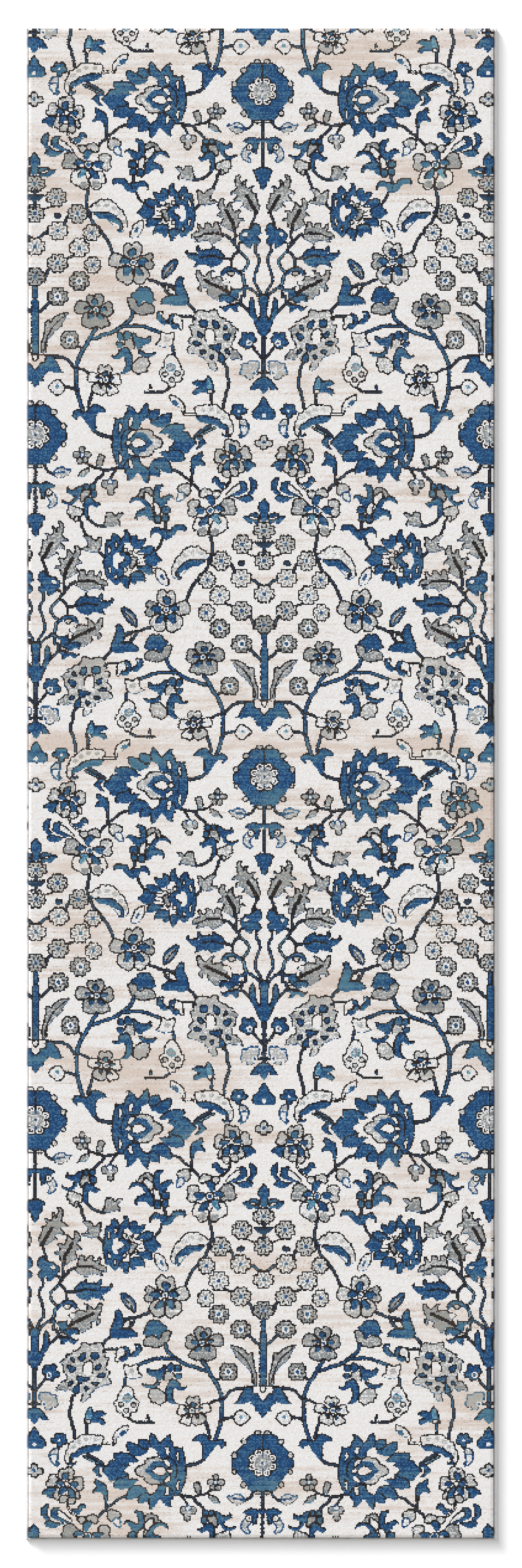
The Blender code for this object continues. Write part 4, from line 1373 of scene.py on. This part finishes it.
@dataclass
class Pile:
    """The cut pile: tufts on a lattice, each with the yarn that the cartoon gives it.

    Attributes:
        half_width: Half the width of the pile.
        foot: Where it ends at the foot.
        head: Where it ends at the head, where it leans over the binding.
        base: The height that its sides come down to.
        top: The height of its tips.
        strips: How many lengthwise strips it is made in.
        across: The number of tufts across one strip.
        along: The number of tufts along it.
        uneven: How far below the top the lowest tips are.
        brim: How far in from an edge its outermost tufts end.
        slope: How far down the side each line of the lattice is, from the edge inwards.
        stray: How far a tuft strays from its row.
        by_row: How much of a tuft's shade comes from its row.
        columns: The number of columns that a strip's UV map is laid out in.
    """

    half_width: float = 375.3
    foot: float = -1215.0
    head: float = 1218.3
    base: float = 3.7
    top: float = 10.85
    strips: int = 6
    across: int = 63
    along: int = 1217
    uneven: float = 0.10
    brim: float = 0.7
    slope: tuple[float, ...] = (1.0, 0.14, 0.03)
    stray: float = 0.28
    by_row: float = 0.35
    columns: int = 4

    def steps(self, count: int, low: float, high: float) -> tuple[np.ndarray, np.ndarray]:
        """Gives the place of each line of the lattice, and how far it is down the rounded side.

        Args:
            count: The number of tufts between the two edges.
            low: Where the first edge is.
            high: Where the other edge is.

        Returns:
            The place of each line, and its share of the height of the side.
        """
        at = np.linspace(low, high, count + 1)
        at[1], at[-2] = low + self.brim, high - self.brim
        fall = np.zeros(count + 1)
        for number, share in enumerate(self.slope):
            fall[[number, -1 - number]] = share
        return at, fall

    def build(self, cartoon: Cartoon, placing: Placing) -> list[bpy.types.Object]:
        """Builds the strips and dyes their tufts.

        Args:
            cartoon: The pattern.
            placing: How it is laid on the rug.

        Returns:
            The strips.
        """
        chance = np.random.default_rng(7)
        total = self.strips * self.across
        xs, fall_x = self.steps(total, -self.half_width, self.half_width)
        ys, fall_y = self.steps(self.along, self.foot, self.head)
        tips = self.top - self.uneven * chance.random((total + 1, self.along + 1))
        drop = np.maximum(fall_x[:, None], fall_y[None])
        heights = tips - drop * (self.top - self.base)
        mid_x, mid_y = (xs[1:] + xs[:-1]) / 2, (ys[1:] + ys[:-1]) / 2
        # No warp or weft is dead straight: the tufts stray a little from their rows.
        stray = chance.normal(0.0, self.stray, (2, total, self.along))
        u, v = placing.on_cartoon(cartoon, (mid_x[:, None] + stray[0]).ravel(),
                                  (mid_y[None] + stray[1]).ravel())
        yarns = cartoon.dye(u, v).reshape(total, self.along)
        # Each row across was beaten up a little looser or tighter, so rows show as well as tufts.
        rows = chance.random(self.along)[None] * np.ones((total, 1))
        shade = (1 - self.by_row) * chance.random((total, self.along)) + self.by_row * rows
        grid_x, grid_y = np.meshgrid(mid_x, mid_y, indexing="ij")
        lots = sum(lot.share(grid_x, grid_y) for lot in LOTS)
        finish = PileFinish().build()
        made = []
        for number in range(self.strips):
            lattice = Lattice(self.across, self.along)
            mesh, corner, cell = lattice.build(f"pile_strip_{number + 1}")
            lattice.unfold(mesh, corner, cell, self.columns)
            first = number * self.across
            points = np.stack([xs[first + corner[:, 0]], ys[corner[:, 1]],
                               heights[first + corner[:, 0], corner[:, 1]]], axis=1) * MM
            mesh.vertices.foreach_set("co", points.astype(np.float32).ravel())
            for name, values in (("yarn", yarns), ("tuft", shade), ("lot", lots)):
                layer = mesh.attributes.new(name, "FLOAT", "FACE")
                layer.data.foreach_set("value", values[first + cell[:, 0], cell[:, 1]].astype(np.float32))
            mesh.update()
            made.append(show(mesh.name, mesh, finish))
        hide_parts("pile_field")
        return made


@dataclass
class Ground:
    """The ground weave: the cloth that the tufts are woven into, cut to the size of the rug.

    Attributes:
        half_width: Half its width.
        half_length: Half its length.
        low: Its underside.
        high: Its upper side.
    """

    half_width: float = 375.2
    half_length: float = 1217.9
    low: float = 1.1
    high: float = 3.3

    def build(self) -> bpy.types.Object:
        """Builds the cloth with softly rounded cut edges, as one closed sheet."""
        sheet = bmesh.new()
        bmesh.ops.create_grid(sheet, x_segments=24, y_segments=78, size=0.5)
        faces = bmesh.ops.extrude_face_region(sheet, geom=sheet.faces[:])["geom"]
        upper = [item for item in faces if isinstance(item, bmesh.types.BMVert)]
        for vertex in sheet.verts:
            vertex.co.z = self.low * MM
        for vertex in upper:
            vertex.co.z = self.high * MM
        for vertex in sheet.verts:
            vertex.co.x *= 2 * self.half_width * MM
            vertex.co.y *= 2 * self.half_length * MM
        bmesh.ops.recalc_face_normals(sheet, faces=sheet.faces[:])
        rim = [edge for edge in sheet.edges if edge.calc_face_angle(0.0) > 1.0]
        bmesh.ops.bevel(sheet, geom=rim, offset=0.5 * MM, affect="EDGES", segments=3, profile=0.5,
                        material=-1)
        mesh = bpy.data.meshes.new("ground_cloth")
        sheet.to_mesh(mesh)
        sheet.free()
        piece = show("ground_cloth", mesh, GROUND_CLOTH.build())
        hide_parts("ground_weave")
        return piece


@dataclass
class Overcast:
    """The whip stitching over a side cord: slanted turns of yarn, lying side by side.

    Attributes:
        side: 1 for the right side and -1 for the left.
        inner: Where it meets the pile.
        outer: The rug's edge.
        half_length: Half its length.
        top: Its height.
        pitch: How far one turn of yarn lies from the next.
        slant: How far a turn leans along the rug while it crosses the band.
        swell: How far a turn stands out.
        around: The number of facets round the band.
        samples: The number of rings for each turn.
        corner: How far the band's rounded corners reach out, as a share of its half width.
        tip: How far from each end the band starts to close.
        closed: What is left of its thickness at the very end, as a share.
    """

    side: int
    inner: float = 375.5
    outer: float = 381.0
    half_length: float = 1219.0
    top: float = 5.8
    pitch: float = 2.85
    slant: float = 2.2
    swell: float = 0.42
    around: int = 12
    samples: int = 5
    corner: float = 1.14
    tip: float = 1.2
    closed: float = 0.55

    def build(self) -> bpy.types.Object:
        """Builds the stitching as one closed band with a swell for each turn."""
        along = round(2 * self.half_length / self.pitch) * self.samples
        lattice = Lattice(self.around, along)
        name = "whip_stitches_right" if self.side > 0 else "whip_stitches_left"
        mesh, corner, cell = lattice.build(name)
        lattice.unfold(mesh, corner, cell, 8)
        turn = 2 * math.pi * corner[:, 0] / self.around
        y = -self.half_length + 2 * self.half_length * corner[:, 1] / along
        half, rise = (self.outer - self.inner) / 2, self.top / 2
        # A squarish oval: the band lies flat on the floor and against the pile.
        cosine, sine = np.cos(turn), np.sin(turn)
        flat = (np.abs(cosine) ** 4 + np.abs(sine) ** 4) ** -0.25
        reach = np.minimum(flat, self.corner)
        phase = 2 * math.pi * (y + self.slant * cosine) / self.pitch
        swell = self.swell * (1 - np.abs(np.sin(phase / 2)) ** 1.5)
        end = np.clip((self.half_length - np.abs(y)) / self.tip, 0, 1) ** 0.5
        end = self.closed + (1 - self.closed) * end
        x = self.inner + half + reach * cosine * (half - self.swell / 2 - swell) * end
        x = np.clip(x, self.inner, self.outer)
        z = rise + reach * sine * (rise - self.swell / 2 - swell) * end
        z = np.clip(z, 0.0, self.top)
        points = np.stack([self.side * x, y, z], axis=1) * MM
        mesh.vertices.foreach_set("co", points.astype(np.float32).ravel())
        band = bmesh.new()
        band.from_mesh(mesh)
        bmesh.ops.remove_doubles(band, verts=band.verts[:], dist=1e-6)
        bmesh.ops.recalc_face_normals(band, faces=band.faces[:])
        for face in band.faces:
            face.smooth = True
        band.to_mesh(mesh)
        band.free()
        piece = show(name, mesh, WHIP_YARN.build())
        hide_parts("overcast_right" if self.side > 0 else "overcast_left")
        return piece


def dress_nodes(nodes: dict[str, bpy.types.Object]) -> None:
    """Gives the parts that are shown as they were modelled their real finishes.

    Args:
        nodes: The parts of the frame, by name.
    """
    finishes = {"end_binding_head": TAPE, "end_binding_foot": TAPE, "binding_thread_head": THREAD,
                "binding_thread_foot": THREAD, "edge_cord_left": CORD, "edge_cord_right": CORD,
                "back_coat": LATEX}
    built = {finish.name: finish.build() for finish in set(finishes.values())}
    for name, finish in finishes.items():
        mesh = nodes[name].data
        mesh.materials.clear()
        mesh.materials.append(built[finish.name])
        log.info("%s: %s", name, finish.name)


# ---------------------------------------------------------------------------- the studio


@dataclass(frozen=True)
class Studio:
    """A white floor, soft suns from the upper left, a weak one opposite, and the camera above.

    Attributes:
        height: How far the camera is above the pile.
        seen: The length of floor that the picture takes in, at the height of the pile.
        lamps: For each lamp its bearing from the head of the rug, its height, how wide it is, all
            in degrees, and its power.
        sky: The strength of the even white light from all round.
        floor: The colour of the floor.
        reach: How far the floor reaches each way, in metres.
        film: The height of the camera's sensor, in millimetres.
        pile: The height of the pile above the floor.
        gap: How far the floor lies below the rug, so that the two never meet.
    """

    height: float = 6.0
    seen: float = 2.526
    lamps: tuple[tuple[float, float, float, float], ...] = (
        (-42.0, 50.0, 20.0, 0.5), (-40.0, 25.0, 26.0, 2.0), (-38.0, 13.0, 20.0, 4.4),
        (125.0, 32.0, 50.0, 0.45))
    sky: float = 0.35
    floor: str = "#ffffff"
    reach: float = 40.0
    film: float = 36.0
    pile: float = 0.011
    gap: float = 0.0004

    def build(self) -> None:
        """Sets up the floor, the light and the camera."""
        scene = bpy.context.scene
        scene.view_settings.view_transform = "Standard"
        world = bpy.data.worlds.new("studio")
        world.use_nodes = True
        world.node_tree.nodes["Background"].inputs["Color"].default_value = (1.0, 1.0, 1.0, 1.0)
        world.node_tree.nodes["Background"].inputs["Strength"].default_value = self.sky
        scene.world = world
        for number, (bearing, rise, width, power) in enumerate(self.lamps):
            turn, lift = math.radians(bearing), math.radians(rise)
            away = Vector((math.sin(turn) * math.cos(lift), math.cos(turn) * math.cos(lift),
                           math.sin(lift)))
            light = bpy.data.lights.new(f"softbox_{number + 1}", "SUN")
            light.energy, light.angle = power, math.radians(width)
            lamp = bpy.data.objects.new(light.name, light)
            lamp.rotation_mode = "QUATERNION"
            lamp.rotation_quaternion = away.to_track_quat("Z", "Y")
            scene.collection.objects.link(lamp)
        self.build_floor()
        lens = bpy.data.cameras.new("above")
        lens.sensor_fit, lens.sensor_height, lens.sensor_width = "VERTICAL", self.film, self.film
        lens.lens = self.film * self.height / self.seen
        lens.clip_end = 50.0
        camera = bpy.data.objects.new("above", lens)
        camera.location = (0.0, 0.0, self.height + self.pile)
        scene.collection.objects.link(camera)
        scene.camera = camera

    def build_floor(self) -> None:
        """Builds the plain white floor."""
        ground = bmesh.new()
        bmesh.ops.create_grid(ground, x_segments=8, y_segments=8, size=self.reach)
        mesh = bpy.data.meshes.new("floor")
        ground.to_mesh(mesh)
        ground.free()
        material, _, shader = blank("matt_white_paint")
        shader.inputs["Base Color"].default_value = colour(self.floor)
        shader.inputs["Roughness"].default_value = 0.95
        shader.inputs["Specular IOR Level"].default_value = 0.0
        mesh.materials.append(material)
        floor = bpy.data.objects.new("floor", mesh)
        floor.location.z = -self.gap
        bpy.context.scene.collection.objects.link(floor)


def main() -> None:
    """Builds the rug and its studio."""
    logging.basicConfig(level=logging.INFO, format="%(message)s")
    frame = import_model()
    cartoon = Cartoon()
    cartoon.draw()
    Pile().build(cartoon, Placing())
    ground = Ground().build()
    dress_nodes(frame["nodes"])
    bands = [Overcast(side).build() for side in (-1, 1)]
    Studio().build()


if __name__ == "__main__":
    main()
